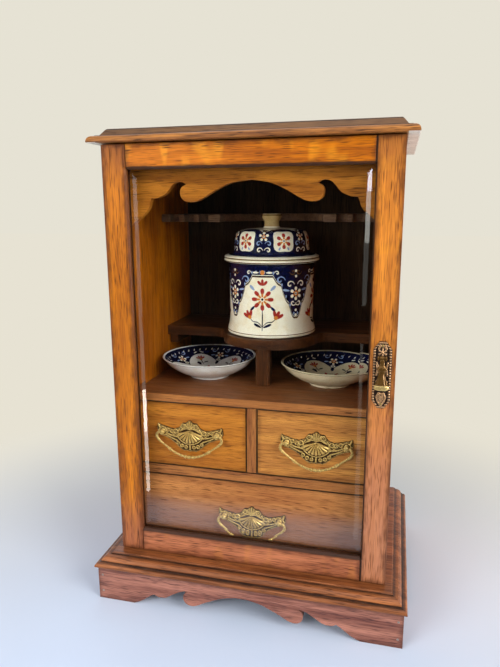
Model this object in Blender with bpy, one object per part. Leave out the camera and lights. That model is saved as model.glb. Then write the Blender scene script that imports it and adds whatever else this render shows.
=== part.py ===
"""Oak smoker's cabinet: glazed door, three drawers, pipe rack, fitted jar and dishes."""
import math

import bmesh
import bpy

# Driving dimensions in millimetres.
# x runs to the right, y to the back and z up from the floor; the footprint's middle is x = y = 0.
GAP = 0.3
SLIDE_GAP = 0.5
DEPTH = 246.0

# Plinth and top.
PLINTH_FRONT = 26.0
PLINTH_SIDE = 22.5
PLINTH_H = 51.0
LIP_T = 13.0
LIP_MOULDING = 15.8
APRON_T = 10.0
APRON_INSET = 3.0
SIDE_ARCH = 14.0
BACK_RAIL_T = 10.0
BACK_RAIL_IN = 4.0
BACK_RAIL_UP = 10.0
TOP_T = 14.0
TOP_FRONT = 9.0
TOP_SIDE = 11.0
TOP_MOULDING = 16.0

# Door.
DOOR_W = 290.0
DOOR_H = 436.0
DOOR_T = 18.0
DOOR_RISE = 1.0
STILE_W = 25.4
TOP_RAIL_W = 24.3
BOTTOM_RAIL_W = 26.0
SIGHT_CHAMFER = 2.5
REVEAL = 6.0
REBATE = 5.0
TENON_T = 6.0
TENON_H = 13.0
TENON_IN = 5.0
TENON_WALL = 11.4
GLASS_T = 4.0
GLASS_EDGE_T = 2.2
BEVEL_W = 13.0
BEAD_SETBACK = 1.2

# Case and the boards in it, from the bottom up.
SIDE_T = 12.0
BACK_T = 8.0
BACK_REBATE = 6.0
HOUSING = 4.0
DRAWER_SETBACK = 8.0
BOTTOM_T = 8.7
LOWER_OPENING = 74.6
RAIL_T = 11.7
UPPER_OPENING = 73.5
SHELF_T = 9.2
DIVIDER_W = 11.3
PELMET_T = 8.0
PELMET_H = 81.7
PELMET_FORWARD = 2.0

# Smoking set and the pipe rack that is shaped around the jar.
JAR_R = 55.0
JAR_H = 86.6
JAR_TO_BACK = 85.4
LID_IN = 0.2
LID_H = 49.6
DISH_R = 56.0
DISH_H = 25.0
DISH_TO_SIDE = 4.5
DISH_TO_FRONT = 26.0
SEAT_UP = 44.0
SEAT_T = 11.0
SEAT_RIM = 2.0
SEAT_FILLET = 14.0
RACK_UP = 127.0
RACK_T = 9.0
RACK_CLEAR = 5.0
RACK_FORWARD = 8.0
NOTCHES = 3
NOTCH_R = 5.5
NOTCH_STRAIGHT = 11.0
NOTCH_TO_SIDE = 16.7
NOTCH_PITCH = 18.0
BEARER_W = 10.0
BEARER_H = 11.7
BEARER_FRONT = 8.0
BEARER_BACK = 4.0
POST_W = 16.0
POST_IN = 7.0
POST_CHAMFER = 2.0

# Hinges, door plate, drop pull and catch.
HINGE_OUT = 2.7
HINGE_H = 40.0
HINGE_INSET = 32.0
LEAF_T = 1.5
LEAF_W = 10.5
KNUCKLE_R = 2.4
PIN_R = 1.0
PIN_PROUD = 0.8
PLATE_INSET = 12.5
PLATE_RISE = 2.5
PLATE_W = 17.0
PLATE_H = 65.0
PLATE_T = 1.4
PLATE_END = 6.0
PLATE_CORNER = 7.5
PLATE_RIM = 0.8
DROP_UP = 17.0
DROP_OUT = 4.2
DROP_W = 4.4
DROP_R = 2.5
LUG_W = 1.8
LUG_R = 2.4
LUG_GAP = 0.4
BELL_R = 6.8
BELL_L = 30.8
BELL_FLAT = 0.5
BELL_FORWARD = 1.1
CATCH_INSET = 5.5
CATCH_R = 4.0
CATCH_L = 14.0
CATCH_FLOOR = 1.5
BALL_R = 2.6
BALL_PROUD = 0.7

# Drawers and pulls.
FRONT_T = 10.0
LINING_T = 6.0
DRAWER_SHORT = 9.4
DRAWER_BACK_DROP = 4.0
PANEL_T = 4.0
GROOVE_UP = 7.0
GROOVE_D = 3.0
TAIL_L = 6.5
TAILS = 3
PULL_HALF = 38.0
PULL_RISE = 17.0
PULL_DROP = 19.0
PULL_T = 0.7
PULL_UP = {"upper": 0.55, "lower": -6.9}
PIVOT_UP = 3.0
PIVOT_OUT = 4.8
POST_X = 31.0
POST_R = 2.9
BAIL_DROP = 26.9

# Levels and planes that follow.
REAR = DEPTH / 2
APRON_H = PLINTH_H - LIP_T
DOOR_Z0 = PLINTH_H + DOOR_RISE
DOOR_Z1 = DOOR_Z0 + DOOR_H
TOP_Z0 = DOOR_Z1 + DOOR_RISE
CASE_X = DOOR_W / 2
CASE_Z0 = PLINTH_H + GAP
CASE_Z1 = TOP_Z0 - GAP
DOOR_Y0 = PLINTH_FRONT - REAR
DOOR_Y1 = DOOR_Y0 + DOOR_T
DOOR_MID_Y = DOOR_Y0 + DOOR_T / 2
CASE_Y0 = DOOR_Y1 + GAP
FRONT_Y = DOOR_Y1 + DRAWER_SETBACK
BACK_Y1 = REAR - GAP
BACK_Y0 = BACK_Y1 - BACK_T
BOARD_Y1 = BACK_Y0 - GAP
IN_X = CASE_X - SIDE_T
BOARD_X = IN_X - GAP
LIP_X = CASE_X + PLINTH_SIDE
APRON_X = LIP_X - APRON_INSET
APRON_Y = APRON_INSET - REAR
BOTTOM_Z1 = CASE_Z0 + BOTTOM_T
RAIL_Z0 = BOTTOM_Z1 + LOWER_OPENING
RAIL_Z1 = RAIL_Z0 + RAIL_T
SHELF_Z0 = RAIL_Z1 + UPPER_OPENING
SHELF_Z1 = SHELF_Z0 + SHELF_T
SEAT_Z0 = SHELF_Z1 + SEAT_UP
SEAT_Z1 = SEAT_Z0 + SEAT_T
RACK_Z0 = SEAT_Z1 + RACK_UP
JAR_Y = BOARD_Y1 - JAR_TO_BACK
SEAT_R = JAR_R + SEAT_RIM
RACK_R = JAR_R + RACK_CLEAR
SIGHT_X = CASE_X - STILE_W
SIGHT_Z0 = DOOR_Z0 + BOTTOM_RAIL_W
SIGHT_Z1 = DOOR_Z1 - TOP_RAIL_W
GLASS_Y = DOOR_Y0 + REVEAL
TENON_X = CASE_X - TENON_WALL
TENON_LOW = DOOR_Z0 + TENON_IN
TENON_HIGH = DOOR_Z1 - TENON_IN - TENON_H
HINGE_X = -CASE_X - HINGE_OUT
HINGE_Y = (DOOR_Y1 + CASE_Y0) / 2
HINGE_Z = {"upper": DOOR_Z1 - HINGE_INSET - HINGE_H, "lower": DOOR_Z0 + HINGE_INSET}
HINGE_AXIS = (HINGE_X, HINGE_Y, DOOR_Z0)
CATCH = (CASE_X - CATCH_INSET, DOOR_MID_Y)
DRAWER_REAR = BOARD_Y1 - DRAWER_SHORT

# Colours as seen on the object.
OAK = "B3692B"
OAK_DOOR = "C8802F"
OAK_PLINTH = "8F5236"
OAK_TOP = "8A5F3C"
OAK_INSIDE = "6B4426"
OAK_LINING = "B58A55"
BRASS = "8F7A3A"
CREAM = "E4D8B4"
CLEAR = "DDE6E2"


def linear(value):
    """One sRGB channel as a linear value."""
    return value / 12.92 if value <= 0.04045 else ((value + 0.055) / 1.055) ** 2.4


def finish(obj, colour, rough, metal=0.0, clear=0.0):
    """Give a piece its own Principled material."""
    mat = bpy.data.materials.new(obj.name + "_finish")
    mat.use_nodes = True
    shader = mat.node_tree.nodes["Principled BSDF"]
    rgb = [linear(int(colour[i:i + 2], 16) / 255) for i in (0, 2, 4)]
    shader.inputs["Base Color"].default_value = (*rgb, 1.0)
    shader.inputs["Roughness"].default_value = rough
    shader.inputs["Metallic"].default_value = metal
    shader.inputs["Transmission Weight"].default_value = clear
    mat.diffuse_color = (*rgb, 1.0)
    obj.data.materials.append(mat)
    return obj


def solid(name, verts, faces, at=(0, 0, 0), smooth=False):
    """An object from points in millimetres, with its origin at the point given."""
    mesh = bpy.data.meshes.new(name)
    mesh.from_pydata([tuple((v[k] - at[k]) * 0.001 for k in range(3)) for v in verts], [], faces)
    bm = bmesh.new()
    bm.from_mesh(mesh)
    bmesh.ops.recalc_face_normals(bm, faces=bm.faces)
    bm.to_mesh(mesh)
    bm.free()
    for face in mesh.polygons:
        face.use_smooth = smooth
    obj = bpy.data.objects.new(name, mesh)
    obj.location = [c * 0.001 for c in at]
    bpy.context.scene.collection.objects.link(obj)
    return obj


def apply_tools(obj, operation, shapes):
    """Cut shapes out of a piece, or join them to it; the shapes stay as hidden tools."""
    for shape in shapes:
        mod = obj.modifiers.new(shape.name, "BOOLEAN")
        mod.operation = operation
        mod.solver = "EXACT"
        mod.object = shape
        shape.hide_render = True
        shape.display_type = "WIRE"
    return obj


def cut(obj, *shapes):
    """Take shapes out of a piece."""
    return apply_tools(obj, "DIFFERENCE", shapes)


def join(obj, *shapes):
    """Make shapes part of a piece."""
    return apply_tools(obj, "UNION", shapes)


def loft(name, loops, at=(0, 0, 0), smooth=False, ring=False):
    """Skin between point loops of equal length, capped at both ends or closed to a ring."""
    count = len(loops[0])
    verts = [p for loop in loops for p in loop]
    faces = []
    for i in range(len(loops) if ring else len(loops) - 1):
        a = i * count
        b = (i + 1) % len(loops) * count
        for j in range(count):
            k = (j + 1) % count
            faces.append((a + j, a + k, b + k, b + j))
    if not ring:
        faces.append(tuple(range(count)))
        faces.append(tuple(range((len(loops) - 1) * count, len(loops) * count)))
    return solid(name, verts, faces, at, smooth)


def box(name, x0, x1, y0, y1, z0, z1, at=(0, 0, 0)):
    """A plain block."""
    low = [(x0, y0, z0), (x1, y0, z0), (x1, y1, z0), (x0, y1, z0)]
    return loft(name, [low, [(x, y, z1) for x, y, z in low]], at)


def prism(name, outline, axis, a0, a1, at=(0, 0, 0)):
    """An outline drawn along one axis: x takes (y, z) points, y takes (x, z), z takes (x, y)."""
    k = "xyz".index(axis)
    loops = [[(*p[:k], a, *p[k:]) for p in outline] for a in (a0, a1)]
    return loft(name, loops, at)


def circle(centre, radius, sides):
    """Points of a circle, with a flat side across each axis."""
    turns = [math.tau * (i + 0.5) / sides for i in range(sides)]
    return [(centre[0] + radius * math.cos(t), centre[1] + radius * math.sin(t)) for t in turns]


def rod(name, axis, centre, radius, a0, a1, sides=16, at=(0, 0, 0)):
    """A round bar along one axis."""
    obj = prism(name, circle(centre, radius, sides), axis, a0, a1, at)
    for face in obj.data.polygons:
        face.use_smooth = len(face.vertices) == 4
    return obj


def turned(name, profile, at, sides=28, flat=1.0):
    """A turned shape: (radius, rise) points about an upright axis, with radius 0 at both ends."""
    verts = []
    rings = []
    for radius, rise in profile:
        if radius == 0:
            rings.append([len(verts)] * sides)
            verts.append((at[0], at[1], at[2] + rise))
            continue
        rings.append([len(verts) + i for i in range(sides)])
        verts += [(at[0] + x, at[1] + flat * y, at[2] + rise) for x, y in circle((0, 0), radius, sides)]
    faces = []
    for low, high in zip(rings, rings[1:]):
        for i in range(sides):
            j = (i + 1) % sides
            faces.append(tuple(dict.fromkeys((low[i], low[j], high[j], high[i]))))
    return solid(name, verts, faces, at, smooth=True)


def curve(*points, steps=3):
    """A smooth run through (u, v) points."""
    ends = (points[0], *points, points[-1])
    run = []
    for a, b, c, d in zip(ends, ends[1:], ends[2:], ends[3:]):
        for t in [s / steps for s in range(steps)]:
            run.append(tuple(
                b[k] + t / 2 * (c[k] - a[k] + t * (2 * a[k] - 5 * b[k] + 4 * c[k] - d[k]
                                                   + t * (3 * b[k] - a[k] - 3 * c[k] + d[k])))
                for k in (0, 1)))
    return run + [points[-1]]


def fitted(points, width, height):
    """An outline stretched so that it reaches the width and height given."""
    ku = width / max(abs(u) for u, v in points)
    kv = height / max(abs(v) for u, v in points)
    return [(u * ku, v * kv) for u, v in points]


def mirrored(half):
    """A whole edge from its right half, listed from the right end to the middle."""
    return half + [(-u, v) for u, v in reversed(half[:-1])]


def frame_loop(y, out):
    """A rectangle around the door's sight opening, widened by a margin."""
    x = SIGHT_X + out
    z0 = SIGHT_Z0 - out
    z1 = SIGHT_Z1 + out
    return [(-x, y, z0), (x, y, z0), (x, y, z1), (-x, y, z1)]


def moulded_board(name, half_x, front, z0, profile):
    """A board whose front and side edges carry an (inset, rise) moulding; the back is square."""
    loops = []
    for inset, rise in profile:
        x = half_x - inset
        y = front + inset
        z = z0 + rise
        loops.append([(-x, y, z), (x, y, z), (x, REAR, z), (-x, REAR, z)])
    return loft(name, loops)


def plinth():
    """Shaped front apron lapping the side aprons, back rail, and the moulded board on top."""
    half = [(164.5, 38), (164.5, 0)]
    half += curve((123, 0), (117, 2.5), (110, 7), (104, 11.5), (99, 14.5))
    half += curve((99, 14.5), (94.5, 12.3), (90, 12), (84, 13.6), (77, 18), (70, 22), (64, 24.4),
                  (59, 24.3))[1:]
    half += curve((59, 24.3), (63, 22.3), (65, 17.5), (63.8, 12), (60, 8.7), (55, 8), (49, 9.8), (42, 13.6),
                  (33, 18), (20, 23.3), (8, 26), (0, 26.3))[1:]
    edge = mirrored(fitted(half, APRON_X, APRON_H))
    finish(prism("plinth_front_apron", edge, "y", APRON_Y, APRON_Y + APRON_T), OAK_PLINTH, 0.45)

    front = APRON_Y + APRON_T + GAP
    foot = fitted(curve((39, 0), (47, 4), (54, 10.5), (65, 14)), 65, SIDE_ARCH)
    edge = [(front, APRON_H), (front, 0)]
    edge += [(front + u, v) for u, v in foot]
    edge += [(REAR - u, v) for u, v in reversed(foot)]
    edge += [(REAR, 0), (REAR, APRON_H)]
    for name, x0 in (("plinth_left_apron", -APRON_X), ("plinth_right_apron", APRON_X - APRON_T)):
        finish(prism(name, edge, "x", x0, x0 + APRON_T), OAK_PLINTH, 0.45)
    x = APRON_X - APRON_T - GAP
    y1 = REAR - BACK_RAIL_IN
    rail = box("plinth_back_rail", -x, x, y1 - BACK_RAIL_T, y1, BACK_RAIL_UP, APRON_H)
    finish(rail, OAK_PLINTH, 0.6)

    moulding = [(0, 1.8), (0.7, 3.6), (2.4, 4.7), (4, 5), (4.6, 5.9), (5.6, 5.9), (7, 8.4), (9.8, 10.4),
                (13.8, 11.2), (14, 12.2), (15.5, 12.3), (15.8, 13)]
    profile = [(0, GAP), *fitted(moulding, LIP_MOULDING, LIP_T)]
    finish(moulded_board("plinth_board", LIP_X, -REAR, APRON_H, profile), OAK_PLINTH, 0.42)


def top():
    """Top board: ovolo, flat step and cove on the front and sides."""
    moulding = [(0, 0), (0, 1.4), (0.6, 3.6), (2, 5.4), (4.2, 6.5), (6.4, 6.8), (6.7, 7.2), (9.8, 7.4),
                (10.6, 8.2), (12, 10), (13.6, 12), (14.8, 13.3), (16, 14)]
    profile = fitted(moulding, TOP_MOULDING, TOP_T)
    board = moulded_board("top_board", CASE_X + TOP_SIDE, DOOR_Y0 - TOP_FRONT, TOP_Z0, profile)
    finish(board, OAK_TOP, 0.4)


def leaf_bed(owner, tag, y0, y1):
    """The shallow bed for a hinge leaf on the hinged edge."""
    z = HINGE_Z[tag]
    x1 = LEAF_W + GAP - CASE_X
    return box("%s_bed_%s" % (owner, tag), -CASE_X - 1, x1, y0, y1, z - GAP, z + HINGE_H + GAP)


def case():
    """Sides rebated for the back and housed for the boards, the back, and the drawer boards."""
    rebate_x = IN_X + BACK_REBATE
    plan = [(CASE_X, CASE_Y0), (CASE_X, REAR), (rebate_x, REAR), (rebate_x, BOARD_Y1), (IN_X, BOARD_Y1),
            (IN_X, CASE_Y0)]
    for name, s in (("left_side", -1), ("right_side", 1)):
        side = prism(name, [(s * x, y) for x, y in plan], "z", CASE_Z0, CASE_Z1)
        xs = sorted((s * (IN_X - 1), s * (IN_X + HOUSING)))
        for tag, z0, z1 in (("rail", RAIL_Z0, RAIL_Z1), ("shelf", SHELF_Z0, SHELF_Z1)):
            cut(side, box(name + "_housing_" + tag, *xs, FRONT_Y - GAP, BOARD_Y1 + 1, z0 - GAP, z1 + GAP))
        if s < 0:
            for tag in HINGE_Z:
                cut(side, leaf_bed(name, tag, CASE_Y0 - 1, CASE_Y0 + LEAF_T + GAP))
        finish(side, OAK, 0.42)
    x = rebate_x - GAP
    finish(box("back_panel", -x, x, BACK_Y0, BACK_Y1, CASE_Z0, CASE_Z1), OAK_INSIDE, 0.6)

    finish(box("bottom_board", -BOARD_X, BOARD_X, FRONT_Y, BOARD_Y1, CASE_Z0, BOTTOM_Z1), OAK_INSIDE, 0.55)
    x = IN_X + HOUSING - GAP
    finish(box("drawer_rail_board", -x, x, FRONT_Y, BOARD_Y1, RAIL_Z0, RAIL_Z1), OAK, 0.45)
    finish(box("drawer_shelf", -x, x, FRONT_Y, BOARD_Y1, SHELF_Z0, SHELF_Z1), OAK, 0.45)
    x = DIVIDER_W / 2
    finish(box("drawer_divider", -x, x, FRONT_Y, BOARD_Y1, RAIL_Z1 + GAP, SHELF_Z0 - GAP), OAK, 0.45)


def pelmet():
    """Scroll-cut board between the sides, hanging from the top."""
    half = curve((132.7, -81.7), (126, -78.7), (117.6, -72.7), (110.5, -66.2), (106.5, -60.7),
                 (105.3, -56.7), (103.4, -52.1))
    half += curve((103.4, -52.1), (98, -52.1), (94.2, -50.8), (88, -47.9), (83.5, -42.7), (79.4, -38.4),
                  (75.8, -36.7), (70.5, -36.4), (65.6, -39.1))[1:]
    half += curve((65.6, -39.1), (70.2, -41.2), (72.2, -45.9), (71, -51.7), (67.5, -54.9), (63.6, -55.9),
                  (58, -55.9), (52.4, -54.3), (45, -50.4), (38.2, -46.3), (26.8, -40.7), (15.9, -37.3),
                  (0, -35.2))[1:]
    half = [(BOARD_X, 0), *fitted(half, BOARD_X, PELMET_H)]
    edge = [(x, CASE_Z1 + z) for x, z in mirrored(half)]
    y0 = FRONT_Y - PELMET_FORWARD
    finish(prism("pelmet", edge, "y", y0, y0 + PELMET_T), OAK_INSIDE, 0.45)


def pipe_rack():
    """Shelf bowed into the jar's seat, its bearers and post, and the notched rail above."""
    reach = SEAT_R + SEAT_FILLET
    fillet_x = math.sqrt(reach ** 2 - SEAT_FILLET ** 2)
    touch = math.asin(SEAT_FILLET / reach)
    sweep = math.pi / 2 - touch
    half = [(BOARD_X, BOARD_Y1), (BOARD_X, JAR_Y)]
    for t in [math.pi / 2 + sweep * i / 5 for i in range(6)]:
        half.append((fillet_x + SEAT_FILLET * math.cos(t), JAR_Y - SEAT_FILLET + SEAT_FILLET * math.sin(t)))
    for t in [touch + sweep * i / 14 for i in range(1, 15)]:
        half.append((SEAT_R * math.cos(t), JAR_Y - SEAT_R * math.sin(t)))
    finish(prism("pipe_rack_shelf", mirrored(half), "z", SEAT_Z0, SEAT_Z1), OAK_INSIDE, 0.45)

    front = JAR_Y - RACK_FORWARD
    half = [(BOARD_X, BOARD_Y1), (BOARD_X, front)]
    for x in [BOARD_X - NOTCH_TO_SIDE - NOTCH_PITCH * i for i in range(NOTCHES)]:
        half.append((x + NOTCH_R, front))
        for t in [math.pi * i / 8 for i in range(9)]:
            half.append((x + NOTCH_R * math.cos(t), front + NOTCH_STRAIGHT + NOTCH_R * math.sin(t)))
        half.append((x - NOTCH_R, front))
    start = -math.asin(RACK_FORWARD / RACK_R)
    for t in [start + (math.pi / 2 - start) * i / 14 for i in range(15)]:
        half.append((RACK_R * math.cos(t), JAR_Y + RACK_R * math.sin(t)))
    finish(prism("pipe_rack_rail", mirrored(half), "z", RACK_Z0, RACK_Z0 + RACK_T), OAK_INSIDE, 0.45)

    ys = (JAR_Y + BEARER_FRONT, BOARD_Y1 - BEARER_BACK)
    z1 = SEAT_Z0 - GAP
    for name, x0 in (("shelf_bearer_left", -BOARD_X), ("shelf_bearer_right", BOARD_X - BEARER_W)):
        finish(box(name, x0, x0 + BEARER_W, *ys, z1 - BEARER_H, z1), OAK_INSIDE, 0.55)
    far = POST_W / 2
    near = far - POST_CHAMFER
    y = JAR_Y - SEAT_R + POST_IN + far
    plan = [(near, -far), (far, -near), (far, near), (near, far)]
    plan += [(-px, -py) for px, py in plan]
    plan = [(px, y + py) for px, py in plan]
    finish(prism("jar_seat_post", plan, "z", SHELF_Z1 + GAP, z1), OAK, 0.45)


def door_opening(owner):
    """The stepped opening through the door: chamfered sight edge, then the rebate for the glass."""
    steps = ((DOOR_Y0 - 1, SIGHT_CHAMFER + 1), (DOOR_Y0 + SIGHT_CHAMFER, 0), (GLASS_Y, 0),
             (GLASS_Y, REBATE), (DOOR_Y1 + 1, REBATE))
    return loft(owner + "_opening", [frame_loop(y, out) for y, out in steps])


def door_frame():
    """Stiles with mortises and hinge beds, rails with tenons."""
    tenon_y0 = DOOR_MID_Y - TENON_T / 2
    tenon_y1 = tenon_y0 + TENON_T
    for name, s in (("door_left_stile", -1), ("door_right_stile", 1)):
        xs = sorted((s * CASE_X, s * SIGHT_X))
        stile = box(name, *xs, DOOR_Y0, DOOR_Y1, DOOR_Z0, DOOR_Z1, HINGE_AXIS)
        cut(stile, door_opening(name))
        xs = sorted((s * (SIGHT_X - 1), s * (TENON_X + GAP)))
        for tag, z in (("low", TENON_LOW), ("high", TENON_HIGH)):
            cut(stile, box("%s_mortise_%s" % (name, tag), *xs, tenon_y0 - GAP, tenon_y1 + GAP, z - GAP,
                           z + TENON_H + GAP))
        if s < 0:
            for tag in HINGE_Z:
                cut(stile, leaf_bed(name, tag, DOOR_Y1 - LEAF_T - GAP, DOOR_Y1 + 1))
        else:
            hole_z = DOOR_Z1 - CATCH_L - 1
            cut(stile, rod(name + "_catch_hole", "z", CATCH, CATCH_R + GAP, hole_z, DOOR_Z1 + 1))
        finish(stile, OAK_DOOR, 0.38)

    x = SIGHT_X - GAP
    for name, z0, z1, tenon_z in (("door_bottom_rail", DOOR_Z0, SIGHT_Z0, TENON_LOW),
                                  ("door_top_rail", SIGHT_Z1, DOOR_Z1, TENON_HIGH)):
        rail = box(name, -x, x, DOOR_Y0, DOOR_Y1, z0, z1, HINGE_AXIS)
        tenon_zs = (tenon_z, tenon_z + TENON_H)
        join(rail, box(name + "_tenons", -TENON_X, TENON_X, tenon_y0, tenon_y1, *tenon_zs))
        cut(rail, door_opening(name))
        finish(rail, OAK_DOOR, 0.38)


def glazing():
    """Glass with a bevel on its front, and the mitred bead that holds it from behind."""
    edge = REBATE - GAP
    face = GLASS_Y + GAP
    rear = face + GLASS_T
    steps = ((rear, edge), (rear - GLASS_EDGE_T, edge), (face, edge - BEVEL_W))
    pane = loft("door_glass", [frame_loop(y, out) for y, out in steps], HINGE_AXIS)
    finish(pane, CLEAR, 0.02, clear=1.0)
    y0 = rear + GAP
    y1 = DOOR_Y1 - BEAD_SETBACK
    steps = ((y0, edge), (y1, edge), (y1, 2.2), (y0 + 1.4, 0.4), (y0, 0.4))
    bead = loft("glazing_bead", [frame_loop(y, out) for y, out in steps], HINGE_AXIS, ring=True)
    finish(bead, OAK, 0.5)


def hinges():
    """Butt hinges: outer knuckles on the case, the middle one on the door, and the pin."""
    axis = (HINGE_X, HINGE_Y)
    third = HINGE_H / 3
    for tag, z in HINGE_Z.items():
        outer = ((z, z + third - GAP), (z + 2 * third + GAP, z + HINGE_H))
        middle = ((z + third, z + 2 * third),)
        for kind, y0, spans, at in (("frame", CASE_Y0, outer, (0, 0, 0)),
                                    ("door", DOOR_Y1 - LEAF_T, middle, HINGE_AXIS)):
            name = "hinge_%s_%s_leaf" % (tag, kind)
            y1 = y0 + LEAF_T
            leaf = box(name, -CASE_X, LEAF_W - CASE_X, y0, y1, z, z + HINGE_H, at)
            for i, (z0, z1) in enumerate(spans):
                join(leaf, box("%s_strap_%d" % (name, i), HINGE_X, 1 - CASE_X, y0, y1, z0, z1))
                join(leaf, rod("%s_knuckle_%d" % (name, i), "z", axis, KNUCKLE_R, z0, z1))
            cut(leaf, rod(name + "_bore", "z", axis, PIN_R + GAP, z - 1, z + HINGE_H + 1))
            finish(leaf, BRASS, 0.4, 1.0)
        pin = rod("hinge_%s_pin" % tag, "z", axis, PIN_R, z - PIN_PROUD, z + HINGE_H + PIN_PROUD, 12)
        finish(pin, BRASS, 0.35, 1.0)


def door_plate():
    """Long plate with a raised rim and two lugs, and the drop pull on its pin."""
    plate_x = CASE_X - PLATE_INSET
    plate_z = (DOOR_Z0 + DOOR_Z1) / 2 + PLATE_RISE
    rear = DOOR_Y0 - GAP
    face = rear - PLATE_T
    rim = face - PLATE_RIM
    w = PLATE_W / 2
    h = PLATE_H / 2
    end = PLATE_END / 2
    side = h - PLATE_CORNER
    outline = [(end, h), (w, side), (w, -side), (end, -h)]
    outline += [(-x, -z) for x, z in outline]
    loops = []
    for y, inset in ((rear, 0), (rim, 0.3), (rim, 1.6), (face, 2.4)):
        ku = 1 - inset / w
        kv = 1 - inset / h
        loops.append([(plate_x + x * ku, y, plate_z + z * kv) for x, z in outline])
    plate = loft("door_plate", loops, HINGE_AXIS)

    axis = (plate_x, rear - DROP_OUT, plate_z + DROP_UP)
    inner = DROP_W / 2 + LUG_GAP
    outer = inner + LUG_W
    join(plate, rod("door_plate_pin", "x", axis[1:], PIN_R, plate_x - inner - 1, plate_x + inner + 1, 12))
    root = face + 0.5
    lug = [(root, axis[2] - LUG_R)]
    lug += [(axis[1] - LUG_R * math.cos(t), axis[2] + LUG_R * math.sin(t))
            for t in [math.pi / 4 * (i - 2) for i in range(5)]]
    lug.append((root, axis[2] + LUG_R + 1.6))
    for tag, x in (("left", plate_x - outer), ("right", plate_x + inner)):
        join(plate, prism("door_plate_lug_" + tag, lug, "x", x, x + LUG_W))
    finish(plate, BRASS, 0.42, 1.0)

    reach = DROP_W / 2
    drop = rod("drop_pull", "x", axis[1:], DROP_R, plate_x - reach, plate_x + reach, at=axis)
    profile = [(0, -1.6), (2.2, -1.6), (2, -4), (2.6, -6.4), (4.3, -8.4), (4.6, -10.4), (3.4, -12.4),
               (3.2, -15), (3.9, -18.5), (5.2, -22.5), (6.2, -25.4), (6.8, -26.6), (6.8, -29), (5.4, -30.4),
               (0, -30.8)]
    place = (plate_x, axis[1] - BELL_FORWARD, axis[2])
    join(drop, turned("drop_pull_bell", fitted(profile, BELL_R, BELL_L), place, 16, BELL_FLAT))
    cut(drop, rod("drop_pull_bore", "x", axis[1:], PIN_R + GAP, plate_x - outer, plate_x + outer))
    finish(drop, BRASS, 0.38, 1.0)


def ball_catch():
    """Barrel let into the top edge of the right stile, with the ball standing proud."""
    z0 = DOOR_Z1 - CATCH_L
    barrel = rod("catch_barrel", "z", CATCH, CATCH_R, z0, DOOR_Z1, at=HINGE_AXIS)
    cut(barrel, rod("catch_well", "z", CATCH, BALL_R + SLIDE_GAP, z0 + CATCH_FLOOR, DOOR_Z1 + 1))
    finish(barrel, BRASS, 0.4, 1.0)
    turns = [math.pi * i / 8 for i in range(1, 8)]
    profile = [(BALL_R * math.sin(t), -BALL_R * math.cos(t)) for t in turns]
    profile = [(0, -BALL_R), *profile, (0, BALL_R)]
    finish(turned("catch_ball", profile, (*CATCH, DOOR_Z1 + BALL_PROUD - BALL_R), 16), BRASS, 0.3, 1.0)


def tails(z0, z1, root, tip, grow=0.0):
    """Dovetails along a board's end from z0 up to z1, each as a (y, z) outline."""
    pitch = (z1 - z0) / TAILS
    slope = abs(tip - root) / 7
    shapes = []
    for i in range(TAILS):
        mid = z0 + pitch * (i + 0.5)
        half = pitch * 0.27 + grow
        wide = half + slope
        shapes.append([(root, mid - half), (tip, mid - wide), (tip, mid + wide), (root, mid + half)])
    return shapes


def cut_sockets(board, shapes, x0, x1):
    """Sockets at both ends of a drawer front or back for the tails of the sides."""
    depth = LINING_T + GAP
    for tag, a, b in (("left", x0 - 1, x0 + depth), ("right", x1 - depth, x1 + 1)):
        for i, shape in enumerate(shapes):
            cut(board, prism("%s_socket_%s_%d" % (board.name, tag, i), shape, "x", a, b))


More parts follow.
